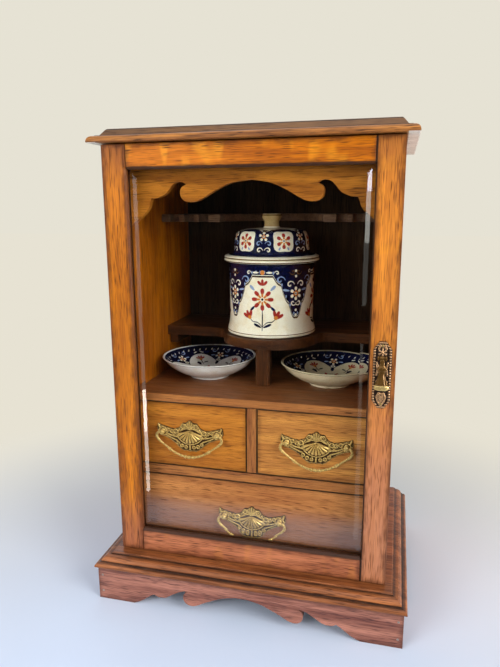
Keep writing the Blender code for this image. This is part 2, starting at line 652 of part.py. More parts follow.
def drawer(tag, x0, x1, z0, z1):
    """Front lap-dovetailed to the sides, through-dovetailed back, bottom in grooves."""
    at = ((x0 + x1) / 2, FRONT_Y, z0)
    inner_y = FRONT_Y + FRONT_T
    tip_y = inner_y - TAIL_L
    root_y = inner_y + GAP
    back_y = DRAWER_REAR - LINING_T
    back_root = back_y - GAP
    groove_z0 = z0 + GROOVE_UP
    groove_z1 = groove_z0 + PANEL_T + 2 * GAP
    back_z0 = groove_z1 + GAP
    back_z1 = z1 - DRAWER_BACK_DROP

    front = box(tag + "_front", x0, x1, FRONT_Y, inner_y, z0, z1, at)
    cut_sockets(front, tails(z0, z1, root_y, tip_y - GAP, GAP), x0, x1)
    groove_x = (x0 + GROOVE_D, x1 - GROOVE_D)
    groove_y = inner_y - GROOVE_D
    cut(front, box(tag + "_front_groove", *groove_x, groove_y, inner_y + 1, groove_z0, groove_z1))
    finish(front, OAK, 0.42)

    rear_tails = tails(back_z0, back_z1, back_root, DRAWER_REAR)
    outline = [(root_y, z0)]
    for shape in tails(z0, z1, root_y, tip_y):
        outline += shape
    step_z = back_z1 + GAP
    outline += [(root_y, z1), (DRAWER_REAR, z1), (DRAWER_REAR, step_z), (back_root, step_z)]
    for shape in reversed(rear_tails[1:]):
        outline += reversed(shape)
    outline += [rear_tails[0][3], rear_tails[0][2], (DRAWER_REAR, z0)]
    for hand, a, b, g0, g1 in (("left", x0, x0 + LINING_T, x0 + GROOVE_D, x0 + LINING_T + 1),
                               ("right", x1 - LINING_T, x1, x1 - LINING_T - 1, x1 - GROOVE_D)):
        name = "%s_%s_side" % (tag, hand)
        side = prism(name, outline, "x", a, b, at)
        cut(side, box(name + "_groove", g0, g1, FRONT_Y, DRAWER_REAR + 1, groove_z0, groove_z1))
        finish(side, OAK_LINING, 0.6)

    back = box(tag + "_back", x0, x1, back_y, DRAWER_REAR, back_z0, back_z1, at)
    sockets = tails(back_z0, back_z1, back_root, DRAWER_REAR, GAP)
    sockets = [[(y - 1 if y < back_y else y + 1, z) for y, z in shape] for shape in sockets]
    sockets[0][:2] = [(y, back_z0 - 1) for y, z in sockets[0][:2]]
    cut_sockets(back, sockets, x0, x1)
    finish(back, OAK_LINING, 0.6)

    panel = box(tag + "_bottom", groove_x[0] + GAP, groove_x[1] - GAP, groove_y + GAP, DRAWER_REAR,
                groove_z0 + GAP, groove_z1 - GAP, at)
    finish(panel, OAK_LINING, 0.65)


def edge_height(points, x):
    """Height of the pull plate's crest or fringe at a distance from its middle."""
    x = abs(x)
    for (xa, za), (xb, zb) in zip(points, points[1:]):
        if x <= xb:
            return za + (zb - za) * (x - xa) / (xb - xa)
    return points[-1][1]


def relief(x, z):
    """How far the pressed pattern stands out: fluted shell, crest and wing bosses."""
    shell_z = 7.0
    r = math.hypot(x, z - shell_z)
    turn = math.atan2(x, shell_z - z)
    rise = 0.5
    if abs(turn) < 1.35 and r < 17:
        flute = 0.78 + 0.22 * math.cos(turn * 7.5)
        rise = 0.6 + 1.9 * math.sin(min(1.0, r / 14) * math.pi * 0.72) * flute
    for cx, cz, radius, height in ((0, 13, 4, 1.2), (8, 11, 3, 1.2), (24, 2, 5, 0.9)):
        d = math.hypot(abs(x) - cx, z - cz) / radius
        if d < 1:
            rise = max(rise, 0.5 + height * math.sqrt(1 - d * d))
    return rise


def pull_plate(tag, pivot, at):
    """Pressed shell plate with two pierced posts."""
    crest = [(0, 17), (2.2, 16.6), (4, 14.6), (5.2, 13.4), (6.6, 14.2), (8.6, 13.6), (10.4, 11.4),
             (12.4, 8.6), (15, 6.6), (18, 5.9), (24, 7), (30, 9), (33, 9.6), (35, 10.6), (36.6, 11.8),
             (37.4, 9), (38, 6)]
    fringe = [(0, -19), (4, -17.8), (7, -18.6), (10, -17.2), (12.4, -14.8), (15, -12.8), (18, -9.6),
              (24, -5.6), (30, -3), (33, -2.6), (35, -1.4), (36.6, 0.6), (37.4, 2.6), (38, 4.4)]
    crest = fitted(crest, PULL_HALF, PULL_RISE)
    fringe = fitted(fringe, PULL_HALF, PULL_DROP)
    face = FRONT_Y - GAP
    x0 = pivot[0]
    z0 = pivot[2] - PIVOT_UP
    columns = 44
    rows = 7
    xs = [PULL_HALF * (2 * i / columns - 1) for i in range(columns + 1)]
    verts = []
    for x in xs:
        low = edge_height(fringe, x)
        high = edge_height(crest, x)
        for j in range(rows + 1):
            z = low + (high - low) * j / rows
            at_rim = j in (0, rows) or abs(x) == PULL_HALF
            verts.append((x0 + x, face - PULL_T - (0.4 if at_rim else relief(x, z)), z0 + z))
    back = len(verts)
    for x in xs:
        verts += [(x0 + x, face, z0 + edge_height(points, x)) for points in (fringe, crest)]
    n = rows + 1
    faces = []
    for i in range(columns):
        a = i * n
        b = back + 2 * i
        faces += [(a + j, a + n + j, a + n + j + 1, a + j + 1) for j in range(rows)]
        faces += [(b, b + 1, b + 3, b + 2), (a, b, b + 2, a + n), (a + rows, a + n + rows, b + 3, b + 1)]
    for i in (0, columns):
        faces.append((*range(i * n, i * n + n), back + 2 * i + 1, back + 2 * i))
    plate = solid(tag + "_pull_plate", verts, faces, at)

    dome = ((POST_R, face - 0.4), (POST_R, pivot[1] - 1.2), (2.4, pivot[1] - 2.1), (1.2, pivot[1] - 2.5))
    for hand, s in (("left", -1), ("right", 1)):
        x = x0 + s * POST_X
        loops = [[(px, y, pz) for px, pz in circle((x, pivot[2]), r, 12)] for r, y in dome]
        join(plate, loft("%s_post_%s" % (tag, hand), loops))
        ends = sorted((x - s * 1.2, x + s * (POST_R + 2)))
        cut(plate, rod("%s_post_bore_%s" % (tag, hand), "x", pivot[1:], PIN_R + GAP, *ends, 12))
    finish(plate, BRASS, 0.42, 1.0)


def bail(tag, pivot):
    """Swinging handle: turned ends in the posts, swelled corners, collars and a double collar."""
    half = [(30.2, 0, 0.95), (33.9, 0, 0.95), (34.6, -0.1, 1.5), (36.6, -1.6, 1.7), (37.4, -4.6, 1.8),
            (36, -7.8, 1.9), (33.4, -10.4, 1.6), (28, -14.6, 1.3), (23.4, -18.2, 1.3), (22.8, -18.7, 1.75),
            (20.6, -20.2, 1.75), (20, -20.6, 1.3), (12, -24.6, 1.4), (4.2, -26.6, 1.5), (3.8, -26.65, 1.8),
            (1.4, -26.9, 1.8), (1, -26.9, 1.5)]
    wide = POST_X / 31
    deep = BAIL_DROP / 26.9
    run = [(x * wide, z * deep, r) for x, z, r in half]
    run += [(-x, z, r) for x, z, r in reversed(run)]
    loops = []
    for i, (x, z, r) in enumerate(run):
        xa, za = run[max(i - 1, 0)][:2]
        xb, zb = run[min(i + 1, len(run) - 1)][:2]
        length = math.hypot(xb - xa, zb - za)
        nx = (za - zb) / length
        nz = (xb - xa) / length
        loops.append([(pivot[0] + x + u * nx, pivot[1] + v, pivot[2] + z + u * nz)
                      for u, v in circle((0, 0), r, 8)])
    finish(loft(tag + "_bail", loops, pivot, smooth=True), BRASS, 0.36, 1.0)


def drawers():
    """Two small drawers over a long one, each with its pull."""
    outer = IN_X - SLIDE_GAP
    inner = DIVIDER_W / 2 + SLIDE_GAP
    upper = (RAIL_Z1 + GAP, SHELF_Z0 - GAP)
    lower = (BOTTOM_Z1 + GAP, RAIL_Z0 - GAP)
    for tag, x0, x1, (z0, z1), row in (("left_drawer", -outer, -inner, upper, "upper"),
                                       ("right_drawer", inner, outer, upper, "upper"),
                                       ("long_drawer", -outer, outer, lower, "lower")):
        drawer(tag, x0, x1, z0, z1)
        x = (x0 + x1) / 2
        pivot = (x, FRONT_Y - GAP - PIVOT_OUT, (z0 + z1) / 2 + PULL_UP[row] + PIVOT_UP)
        pull_plate(tag, pivot, (x, FRONT_Y, z0))
        bail(tag, pivot)


def smoking_set():
    """Tobacco jar with a flanged rim, its domed lid with a spigot and knob, and two footed dishes."""
    profile = [(0, 0), (46, 0), (51, 0.8), (52, 2.6), (51.2, 6), (50, 11), (49, 18), (49, 78), (49.6, 81.4),
               (53.6, 83), (55, 84.6), (54.6, 86), (52, 86.6), (47.2, 86.2), (46.4, 80), (45, 70),
               (45, 12), (42, 7), (0, 6)]
    jar_z = SEAT_Z1 + GAP
    finish(turned("jar", fitted(profile, JAR_R, JAR_H), (0, JAR_Y, jar_z)), CREAM, 0.18)
    profile = [(0, 28.4), (26, 27.4), (36, 23), (39, 14), (40, 3), (42, 0), (42, -6), (45.4, -6), (46, 0),
               (54.2, 0), (54.8, 0.9), (54.2, 2.2), (51.4, 3.2), (45.4, 4.6), (43.7, 7), (42.6, 20),
               (41.6, 25), (39.6, 28.6), (36, 30.8), (29, 32.2), (10, 33.5), (8.9, 34.8), (8.4, 40),
               (10.2, 43), (11, 45), (11, 48), (9, 49.3), (0, 49.6)]
    lid_z = jar_z + JAR_H + GAP
    finish(turned("jar_lid", fitted(profile, JAR_R - LID_IN, LID_H), (0, JAR_Y, lid_z)), CREAM, 0.18)
    profile = [(0, 2.4), (19, 2.4), (20, 0), (23.5, 0), (24.5, 2.6), (36, 7), (48, 15), (55, 23.5),
               (56, 24.4), (55.4, 25), (54.2, 24.8), (46.5, 17), (35, 10), (22, 6.6), (0, 5.8)]
    x = IN_X - DISH_TO_SIDE - DISH_R
    y = FRONT_Y + DISH_TO_FRONT + DISH_R
    for name, s in (("dish_left", -1), ("dish_right", 1)):
        dish = turned(name, fitted(profile, DISH_R, DISH_H), (s * x, y, SHELF_Z1 + GAP))
        finish(dish, CREAM, 0.18)


for old in list(bpy.data.objects):
    bpy.data.objects.remove(old, do_unlink=True)
plinth()
top()
case()
pelmet()
pipe_rack()
door_frame()
glazing()
hinges()
door_plate()
ball_catch()
drawers()
smoking_set()
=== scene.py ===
import math

import bpy
import numpy as np
from mathutils import Matrix, Vector


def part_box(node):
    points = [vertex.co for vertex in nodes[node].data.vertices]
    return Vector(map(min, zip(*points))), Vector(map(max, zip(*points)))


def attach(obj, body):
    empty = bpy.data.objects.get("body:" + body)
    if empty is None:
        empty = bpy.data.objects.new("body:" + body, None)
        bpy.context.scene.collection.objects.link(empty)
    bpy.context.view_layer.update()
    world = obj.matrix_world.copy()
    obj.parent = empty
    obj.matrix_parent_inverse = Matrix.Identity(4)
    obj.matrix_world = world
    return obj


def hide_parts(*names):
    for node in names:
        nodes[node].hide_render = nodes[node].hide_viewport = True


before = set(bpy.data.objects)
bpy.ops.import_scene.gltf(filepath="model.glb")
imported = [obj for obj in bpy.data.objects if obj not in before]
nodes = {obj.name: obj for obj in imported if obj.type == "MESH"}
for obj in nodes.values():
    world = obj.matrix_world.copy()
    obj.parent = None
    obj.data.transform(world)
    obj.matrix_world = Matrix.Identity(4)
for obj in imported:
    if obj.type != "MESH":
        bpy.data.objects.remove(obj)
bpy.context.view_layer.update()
scene = bpy.context.scene
scene.view_settings.view_transform = "Standard"


# Camera: held a little right of the middle, level with the jar's lid, and tipped slightly down.
# Its place, turn and lens were worked out from corners of the door, top and plinth.
YAW, PITCH, ROLL = (math.radians(a) for a in (14.22, 12.16, -0.29))
CAMERA_AT = (0.14078, -0.63286, 0.42541)
LENS = 31.13
camera = bpy.data.objects.new("camera", bpy.data.cameras.new("camera"))
scene.collection.objects.link(camera)
ahead = Vector((-math.sin(YAW) * math.cos(PITCH), math.cos(YAW) * math.cos(PITCH), -math.sin(PITCH)))
level = Vector((math.cos(YAW), math.sin(YAW), 0))
above = level.cross(ahead)
across = level * math.cos(ROLL) + above * math.sin(ROLL)
upward = above * math.cos(ROLL) - level * math.sin(ROLL)
turn = Matrix((across, upward, -ahead)).transposed().to_4x4()
camera.matrix_world = Matrix.Translation(CAMERA_AT) @ turn
camera.data.lens = LENS
camera.data.sensor_width = 36
camera.data.clip_start = 0.01
scene.camera = camera


# Floor: a wide sheet of matt paper, bluish white near the cabinet and creamier far off.
# Paper scatters light evenly, so it shows soft shadows and no shine. Glass and metal see it only close
# to the cabinet, because the room in front of it is dark.
def srgb(code):
    """A hex colour as linear RGBA."""
    parts = [int(code[i:i + 2], 16) / 255 for i in (0, 2, 4)]
    return (*[c / 12.92 if c <= 0.04045 else ((c + 0.055) / 1.055) ** 2.4 for c in parts], 1.0)


def add(owner, kind, values, out=0):
    """Add a node and give back one of its outputs, or all of them.

    Lower-case keys are the node's settings and other keys its sockets, which get a value or a link.
    A Mix of colours has its share at 0, its colours at 6 and 7 and its result at 2; a MapRange has its
    value at 0, the range it comes from at 1 and 2, and the range it goes to at 3 and 4.
    """
    made = owner.node_tree.nodes.new("ShaderNode" + kind)
    for key, value in values.items():
        if isinstance(key, str) and key.islower():
            setattr(made, key, value)
        elif isinstance(value, bpy.types.NodeSocket):
            owner.node_tree.links.new(value, made.inputs[key])
        else:
            made.inputs[key].default_value = value
    return made.outputs if out is None else made.outputs[out]


def new_material(name):
    """An empty node material."""
    made = bpy.data.materials.new(name)
    made.use_nodes = True
    made.node_tree.nodes.clear()
    return made


def mesh_object(name, verts, faces, material, smooth=True, sharp=None):
    """A mesh from points in millimetres, in the cabinet's frame."""
    mesh = bpy.data.meshes.new(name)
    mesh.from_pydata([(x / 1000, y / 1000, z / 1000) for x, y, z in verts], [], faces)
    mesh.polygons.foreach_set("use_smooth", [smooth] * len(mesh.polygons))
    if sharp:
        mesh.set_sharp_from_angle(angle=math.radians(sharp))
    mesh.materials.append(material)
    made = bpy.data.objects.new(name, mesh)
    scene.collection.objects.link(made)
    return made


def straight_view(owner, path):
    """1 for what the camera sees directly or through the glass, without a bounce."""
    bounces = add(owner, "Math", {"operation": "ADD", 0: path["Diffuse Depth"], 1: path["Glossy Depth"]})
    through = add(owner, "Math", {"operation": "LESS_THAN", 0: bounces, 1: 0.5})
    through = add(owner, "Math", {"operation": "MULTIPLY", 0: through, 1: path["Is Transmission Ray"]})
    return add(owner, "Math", {"operation": "MAXIMUM", 0: through, 1: path["Is Camera Ray"]})


FLOOR_HALF = 9000
paper = new_material("matt_white_paper")
place = add(paper, "NewGeometry", {}, "Position")
path = add(paper, "LightPath", {}, None)
around = add(paper, "VectorMath", {"operation": "DISTANCE", 0: place, 1: (0, -0.3, 0)}, "Value")
warmer = add(paper, "MapRange", {"interpolation_type": "SMOOTHSTEP", 0: around, 1: 0.1, 2: 0.85})
tint = add(paper, "Mix", {"data_type": "RGBA", 0: warmer, 6: srgb("D2E0F7"), 7: srgb("E7E2D3")}, 2)
front = add(paper, "SeparateXYZ", {0: place}, 1)
gloom = add(paper, "MapRange", {"interpolation_type": "SMOOTHSTEP", 0: front, 1: -0.25, 2: -0.31})
mirrored = add(paper, "Math", {"operation": "GREATER_THAN", 0: path["Glossy Depth"], 1: 0.5})
gloom = add(paper, "Math", {"operation": "MULTIPLY", 0: gloom, 1: mirrored})
tint = add(paper, "Mix", {"data_type": "RGBA", 0: gloom, 6: tint, 7: srgb("17130F")}, 2)
matt = add(paper, "BsdfDiffuse", {"Color": tint})
glow = add(paper, "Emission", {"Color": tint})
far = add(paper, "VectorMath", {"operation": "LENGTH", 0: place}, "Value")
fade = add(paper, "MapRange", {"interpolation_type": "SMOOTHSTEP", 0: far, 1: 0.25, 2: 0.6})
seen = add(paper, "Math", {"operation": "MULTIPLY", 0: fade, 1: straight_view(paper, path)})
both = add(paper, "MixShader", {0: seen, 1: matt, 2: glow})
add(paper, "OutputMaterial", {"Surface": both}, None)
corners = [(FLOOR_HALF * x, FLOOR_HALF * y, 0) for x, y in ((-1, -1), (1, -1), (1, 1), (-1, 1))]
mesh_object("floor", corners, [(0, 1, 2, 3)], paper, smooth=False)


# Light: a soft lamp well to the right, one overhead, two at the front left, and fills at the right and
# behind. Eight thin strips only show as glints on the bevel of the glass. The backdrop is creamy to the
# camera, and to glass and metal it is a pale room that is dark in front, low down.
def lamp(name, at, aim, width, height, watts, colour, lights=True, mirrored=True):
    """A soft rectangular lamp, unseen by the camera, that may only light things or only glint."""
    data = bpy.data.lights.new(name, "AREA")
    data.shape = "RECTANGLE"
    data.size = width
    data.size_y = height
    data.energy = watts
    data.color = srgb(colour)[:3]
    made = bpy.data.objects.new(name, data)
    made.location = at
    made.rotation_euler = (Vector(aim) - Vector(at)).to_track_quat("-Z", "Y").to_euler()
    made.visible_camera = False
    made.visible_diffuse = lights
    made.visible_glossy = mirrored
    made.visible_transmission = lights and mirrored
    scene.collection.objects.link(made)
    return made


lamp("key_right", (1.9, -1.15, 1.25), (0, 0, 0.25), 1.3, 1.3, 40, "FFFCF6")
lamp("overhead", (0.1, -0.3, 2.3), (0.1, -0.3, 0), 1.5, 1.5, 8, "F6FAFF")
lamp("soft_front", (-0.9, -1.7, 2.0), (0, 0, 0.3), 2.4, 1.4, 6, "FFFFFF")
lamp("low_front", (-1.1, -1.8, 0.8), (0, 0, 0.3), 1.2, 1.0, 31, "FFFFFF", mirrored=False)
lamp("fill_right", (1.6, 0.0, 0.14), (0, 0, 0.35), 0.7, 0.25, 15, "FFFFFF")
lamp("fill_back", (-0.6, 1.5, 1.6), (0, 0, 0.3), 1.2, 1.0, 6, "F4F7FF")
lamp("window_glint", (0.588, -2.1, 0.95), (0.1, 0, 0.95), 0.018, 0.9, 0.9, "F2F6FF", lights=False)
lamp("window_fade", (0.585, -2.1, 0.39), (0.1, 0, 0.39), 0.02, 0.22, 0.09, "F6F6EC", lights=False)
lamp("window_sheen", (0.582, -2.1, 0.14), (0.1, 0, 0.14), 0.022, 0.28, 0.02, "F6F6EC", lights=False)
lamp("left_sheen", (-1.28, -1.4, 0.3), (-0.12, -0.1, 0.3), 0.05, 0.6, 0.17, "F4EEEE", lights=False)
for name, near, far_end, width, watts in (("floor_glint", (-0.435, -0.453), (-0.616, -0.656), 0.038, 0.62),
                                          ("floor_sheen", (-0.27, -0.267), (-0.435, -0.453), 0.038, 0.26),
                                          ("floor_fade", (-0.616, -0.656), (-1.28, -1.4), 0.04, 0.22),
                                          ("floor_gleam", (0.146, -0.24), (0.405, -1.357), 0.012, 0.04)):
    run = Vector(far_end) - Vector(near)
    middle = (*(Vector(near) + run / 2), 0.001)
    strip = lamp(name, middle, (*near, 1), width, run.length, watts, "FFF8EC", lights=False)
    strip.rotation_euler = (math.pi, 0, math.atan2(run.y, run.x) - math.pi / 2)

world = bpy.data.worlds.new("room")
world.use_nodes = True
world.node_tree.nodes.clear()
axes = add(world, "SeparateXYZ", {0: add(world, "TexCoord", {}, "Generated")}, None)
path = add(world, "LightPath", {}, None)
in_view = straight_view(world, path)
plain = add(world, "Math", {"operation": "MAXIMUM", 0: in_view, 1: path["Is Glossy Ray"]})
plain = add(world, "Math", {"operation": "MAXIMUM", 0: plain, 1: path["Is Transmission Ray"]})
high = add(world, "MapRange", {"interpolation_type": "SMOOTHSTEP", 0: axes[2], 1: 0.34, 2: 0.6})
behind = add(world, "MapRange", {"interpolation_type": "SMOOTHSTEP", 0: axes[1], 1: -0.55, 2: 0.3})
leftward = add(world, "MapRange", {"interpolation_type": "SMOOTHSTEP", 0: axes[0], 1: -0.48, 2: -0.6})
open_room = add(world, "Math", {"operation": "MAXIMUM", 0: high, 1: behind})
open_room = add(world, "Math", {"operation": "MAXIMUM", 0: open_room, 1: leftward})
room = add(world, "Mix", {"data_type": "RGBA", 0: open_room, 6: srgb("1C1916"), 7: srgb("D2D4D8")}, 2)
shade = add(world, "Mix", {"data_type": "RGBA", 0: in_view, 6: room, 7: srgb("E6E2D4")}, 2)
strength = add(world, "MapRange", {0: plain, 3: 0.4, 4: 1.0})
sky = add(world, "Background", {"Color": shade, "Strength": strength})
add(world, "OutputWorld", {"Surface": sky}, None)
scene.world = world


# Plinth aprons and back rail: red-brown stained oak boards, sawn to shape, nailed and glued at the corners.
# French polish gives the oak a soft shine, with dark open pores along the grain; painted shade and grime
# darken the edges.
boards_made = 0


def oak(name, along, light, dark, pore, bounds=None, shade_and_grime=0.5, flecks=0.0, sight=None, shade_lines=(), tints_and_painted_light=(),
        polish=0.1):
    """Oak with its grain along one axis: soft bands of colour, dark pores and a satin shine.

    bounds are the board's corners, for painted shade with some soiling near its edges; flecks is the strength
    of its rays; sight is the door's opening (half width, bottom, top), with painted shade round it; the dark
    lines are painted shade in a hollow or along a gap: the axis, the place and how far they spread; the tints
    list colours, some of them painted shade, light and reflection, with their share, the heights they come in
    over and how far out they start.
    """
    global boards_made
    boards_made += 1
    mat = new_material(name)
    spot = add(mat, "TexCoord", {}, "Object")
    x, y, z = add(mat, "SeparateXYZ", {0: spot}, None)

    def streaks(length, width, detail, seed, lean=0.0):
        """Noise drawn out along the grain, or leaning from it: marks so many millimetres long and wide."""
        scale = [1000 / (length if axis == along else width) for axis in "xyz"]
        shift = [seed + boards_made * k for k in (13.7, 7.3, 5.9)]
        sized = add(mat, "Mapping", {"Vector": spot, "Location": shift, "Rotation": (0, lean, 0),
                                     "Scale": scale})
        return add(mat, "TexNoise", {"Vector": sized, "Scale": 1.0, "Detail": detail, "Roughness": 0.55})

    # Growth rings are contour lines of long, stretched noise.
    rings = add(mat, "Math", {"operation": "MULTIPLY", 0: streaks(190, 19, 1.5, 3), 1: 9.0})
    rings = add(mat, "Math", {"operation": "PINGPONG", 0: rings, 1: 1.0})
    fibre = add(mat, "MapRange", {0: streaks(45, 1.0, 2, 11), 1: 0.36, 2: 0.64})
    tone = add(mat, "MapRange", {0: streaks(130, 11, 2, 41), 1: 0.34, 2: 0.66})
    band = add(mat, "Math", {"operation": "MULTIPLY", 0: rings, 1: 0.22})
    band = add(mat, "Math", {"operation": "MULTIPLY_ADD", 0: fibre, 1: 0.3, 2: band})
    band = add(mat, "Math", {"operation": "MULTIPLY_ADD", 0: tone, 1: 0.62, 2: band})
    colour = add(mat, "Mix", {"data_type": "RGBA", 0: band, 6: srgb(light), 7: srgb(dark)}, 2)
    if flecks:
        # Rays cross the grain of quarter-sawn oak as bright flames, 13 mm by 34 mm, that lean a little.
        rays = streaks(13, 34, 0, 67, 0.35)
        rays = add(mat, "MapRange", {"interpolation_type": "SMOOTHSTEP", 0: rays, 1: 0.52, 2: 0.7, 4: flecks})
        colour = add(mat, "Mix", {"data_type": "RGBA", 0: rays, 6: colour, 7: srgb("F2A01C")}, 2)
    # Tints that come in with height: painted shade, painted reflection and painted light, and a greyer tone.
    for tint_colour, share, low, high, beyond in tints_and_painted_light:
        tint_share = add(mat, "MapRange", {"interpolation_type": "SMOOTHSTEP", 0: z, 1: low / 1000,
                                     2: high / 1000, 4: share})
        side = add(mat, "Math", {"operation": "ABSOLUTE", 0: x})
        side = add(mat, "Math", {"operation": "GREATER_THAN", 0: side, 1: beyond / 1000})
        tint_share = add(mat, "Math", {"operation": "MULTIPLY", 0: tint_share, 1: side})
        colour = add(mat, "Mix", {"data_type": "RGBA", 0: tint_share, 6: colour, 7: srgb(tint_colour)}, 2)
    if tints_and_painted_light:
        # The grain still shows through.
        streaky = add(mat, "MapRange", {0: fibre, 3: 0.0, 4: 0.3})
        colour = add(mat, "Mix", {"data_type": "RGBA", 0: streaky, 6: colour, 7: srgb(dark)}, 2)
    # Pores are 0.3 mm wide on oak; they are drawn at about 0.6 mm so that they show.
    pores = add(mat, "MapRange", {0: streaks(13, 0.6, 0, 23), 1: 0.56, 2: 0.72})
    crowd = add(mat, "MapRange", {0: rings, 1: 0.0, 2: 0.9, 3: 0.4, 4: 0.9})
    pores = add(mat, "Math", {"operation": "MULTIPLY", 0: pores, 1: crowd})
    colour = add(mat, "Mix", {"data_type": "RGBA", 0: pores, 6: colour, 7: srgb(pore)}, 2)
    patchy = streaks(16, 7, 3, 83)
    if bounds:
        # Painted shade and dirt, up to 6 mm in from the edges of the board's face.
        low, high = bounds
        edge = 1.0
        for k in sorted(range(3), key=lambda n: high[n] - low[n])[1:]:
            for sign, start in ((1, -low[k]), (-1, high[k])):
                gap = add(mat, "Math", {"operation": "MULTIPLY_ADD", 0: (x, y, z)[k], 1: sign, 2: start})
                edge = add(mat, "Math", {"operation": "MINIMUM", 0: gap, 1: edge})
        edge = add(mat, "Math", {"operation": "MULTIPLY_ADD", 0: patchy, 1: 0.011, 2: edge})
        shade_and_dirt = add(mat, "MapRange", {"interpolation_type": "SMOOTHSTEP", 0: edge, 1: 0.005, 2: 0.012,
                                     3: shade_and_grime, 4: 0.0})
        colour = add(mat, "Mix", {"data_type": "RGBA", 0: shade_and_dirt, 6: colour, 7: srgb("48210F")}, 2)
    # Painted shade: a dark band about 3 mm wide round the door's opening, where the rails' chamfer is turned
    # away from the light.
    if sight:
        half, low, high = (c / 1000 for c in sight)
        reach = add(mat, "Math", {"operation": "ABSOLUTE", 0: x})
        reach = add(mat, "Math", {"operation": "SUBTRACT", 0: reach, 1: half})
        under = add(mat, "Math", {"operation": "SUBTRACT", 0: low, 1: z})
        over = add(mat, "Math", {"operation": "SUBTRACT", 0: z, 1: high})
        reach = add(mat, "Math", {"operation": "MAXIMUM", 0: reach, 1: under})
        reach = add(mat, "Math", {"operation": "MAXIMUM", 0: reach, 1: over})
        shade_and_dirt = add(mat, "MapRange", {"interpolation_type": "SMOOTHSTEP", 0: reach, 1: 0.0021, 2: 0.0034,
                                     3: 0.85, 4: 0.0})
        colour = add(mat, "Mix", {"data_type": "RGBA", 0: shade_and_dirt, 6: colour, 7: srgb("2B1B13")}, 2)
    # Painted shade: dark lines in the hollows of mouldings and along the gaps between parts.
    for axis, line, spread in shade_lines:
        away = {"x": x, "z": z}[axis]
        away = add(mat, "Math", {"operation": "SUBTRACT", 0: away, 1: line / 1000})
        away = add(mat, "Math", {"operation": "ABSOLUTE", 0: away})
        shade_and_dirt = add(mat, "MapRange", {"interpolation_type": "SMOOTHSTEP", 0: away, 1: spread * 0.0003,
                                     2: spread * 0.001, 3: 1.0, 4: 0.0})
        unevenness = add(mat, "MapRange", {0: patchy, 1: 0.3, 2: 0.6, 3: 0.72, 4: 0.95})
        shade_and_dirt = add(mat, "Math", {"operation": "MULTIPLY", 0: shade_and_dirt, 1: unevenness})
        colour = add(mat, "Mix", {"data_type": "RGBA", 0: shade_and_dirt, 6: colour, 7: srgb("1C110C")}, 2)
    height = add(mat, "Math", {"operation": "MULTIPLY", 0: fibre, 1: 0.25})
    height = add(mat, "Math", {"operation": "SUBTRACT", 0: height, 1: pores})
    bump = add(mat, "Bump", {"Strength": 0.3, "Distance": 0.0004, "Height": height})
    low_gloss = 0.34 if polish else 0.55
    gloss = add(mat, "MapRange", {0: fibre, 3: low_gloss, 4: low_gloss + 0.2})
    skin = add(mat, "BsdfPrincipled", {"Base Color": colour, "Roughness": gloss, "Normal": bump, "IOR": 1.5,
                                       "Specular IOR Level": 0.24, "Coat Weight": polish,
                                       "Coat Roughness": 0.2})
    add(mat, "OutputMaterial", {"Surface": skin}, None)
    return mat


def dress(node, material, ease=0.6):
    """Give a CAD piece its finish, and round its edges by that many millimetres."""
    board = nodes[node]
    for place in board.material_slots:
        place.material = material
    board.modifiers.new("weld", "WELD").merge_threshold = 0.00001
    bevel = board.modifiers.new("worn_edges", "BEVEL")
    bevel.width = ease / 1000
    bevel.segments = 2
    bevel.limit_method = "ANGLE"
    bevel.angle_limit = math.radians(35)


RED_OAK = ("C4826A", "6E3A2C", "421E17")
for node, along in (("plinth_front_apron", "x"), ("plinth_left_apron", "y"), ("plinth_right_apron", "y"),
                    ("plinth_back_rail", "x")):
    dress(node, oak("oak_" + node, along, *RED_OAK, bounds=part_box(node), shade_and_grime=0.6, polish=0.5), 0.8)


# Apron nails: cut steel brads through the front apron into the ends of the side aprons.
# Their heads are small, pale grey and a little proud, with dull rust in patches.
NAIL_R, NAIL_IN = 1.3, 5
NAIL_ROWS = (9.5, 29)
steel = new_material("rusty_steel_brads")
spot = add(steel, "TexCoord", {}, "Object")
# Rust pits are finer than this; they are drawn 0.7 mm across so that they show.
grit = add(steel, "TexNoise", {"Vector": spot, "Scale": 1000 / 0.7, "Detail": 3.0})
rust = add(steel, "Mix", {"data_type": "RGBA", 0: grit, 6: srgb("C4BDB2"), 7: srgb("6A5648")}, 2)
pitted = add(steel, "MapRange", {0: grit, 3: 0.35, 4: 0.6})
skin = add(steel, "BsdfPrincipled", {"Metallic": 0.9, "Base Color": rust, "Roughness": pitted})
add(steel, "OutputMaterial", {"Surface": skin}, None)


def walls(total, sides, first=0, turned=False):
    """Faces between rings of points, turned round if the rings run the other way."""
    quads = []
    for a in range(first, total - sides, sides):
        for j in range(sides):
            k = (j + 1) % sides
            quad = (a + j, a + k, a + sides + k, a + sides + j)
            quads.append((quad[0], quad[3], quad[2], quad[1]) if turned else quad)
    return quads


def fix(piece, body, node=None):
    """Let a piece ride on a body, and stand for a CAD node, which it hides."""
    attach(piece, body)
    if node:
        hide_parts(node)


def heads(name, places, facing, profile, material, body, sides=14):
    """Turned heads of nails, posts or nuts: (radius, height) points about each place, facing one way."""
    verts = []
    faces = []
    spin = Vector((0, 0, 1)).rotation_difference(Vector(facing)).to_matrix()
    for at in places:
        start = len(verts)
        for radius, rise in profile:
            for i in range(sides):
                t = math.tau * i / sides
                verts.append(Vector(at) + spin @ Vector((radius * math.cos(t), radius * math.sin(t), rise)))
        faces += walls(len(verts), sides, start)
        faces.append(tuple(start + j for j in reversed(range(sides))))
        faces.append(tuple(len(verts) - sides + j for j in range(sides)))
    fix(mesh_object(name, verts, faces, material, sharp=40), body)


apron_low, apron_high = (1000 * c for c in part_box("plinth_front_apron"))
brads = [(s * (apron_high[0] - NAIL_IN), apron_low[1] - 0.02, z) for s in (-1, 1) for z in NAIL_ROWS]
brad_head = [(NAIL_R, -0.6), (NAIL_R, 0), (NAIL_R * 0.7, 0.16), (0.2, 0.2)]
heads("apron_brads", brads, (0, -1, 0), brad_head, steel, "cabinet")
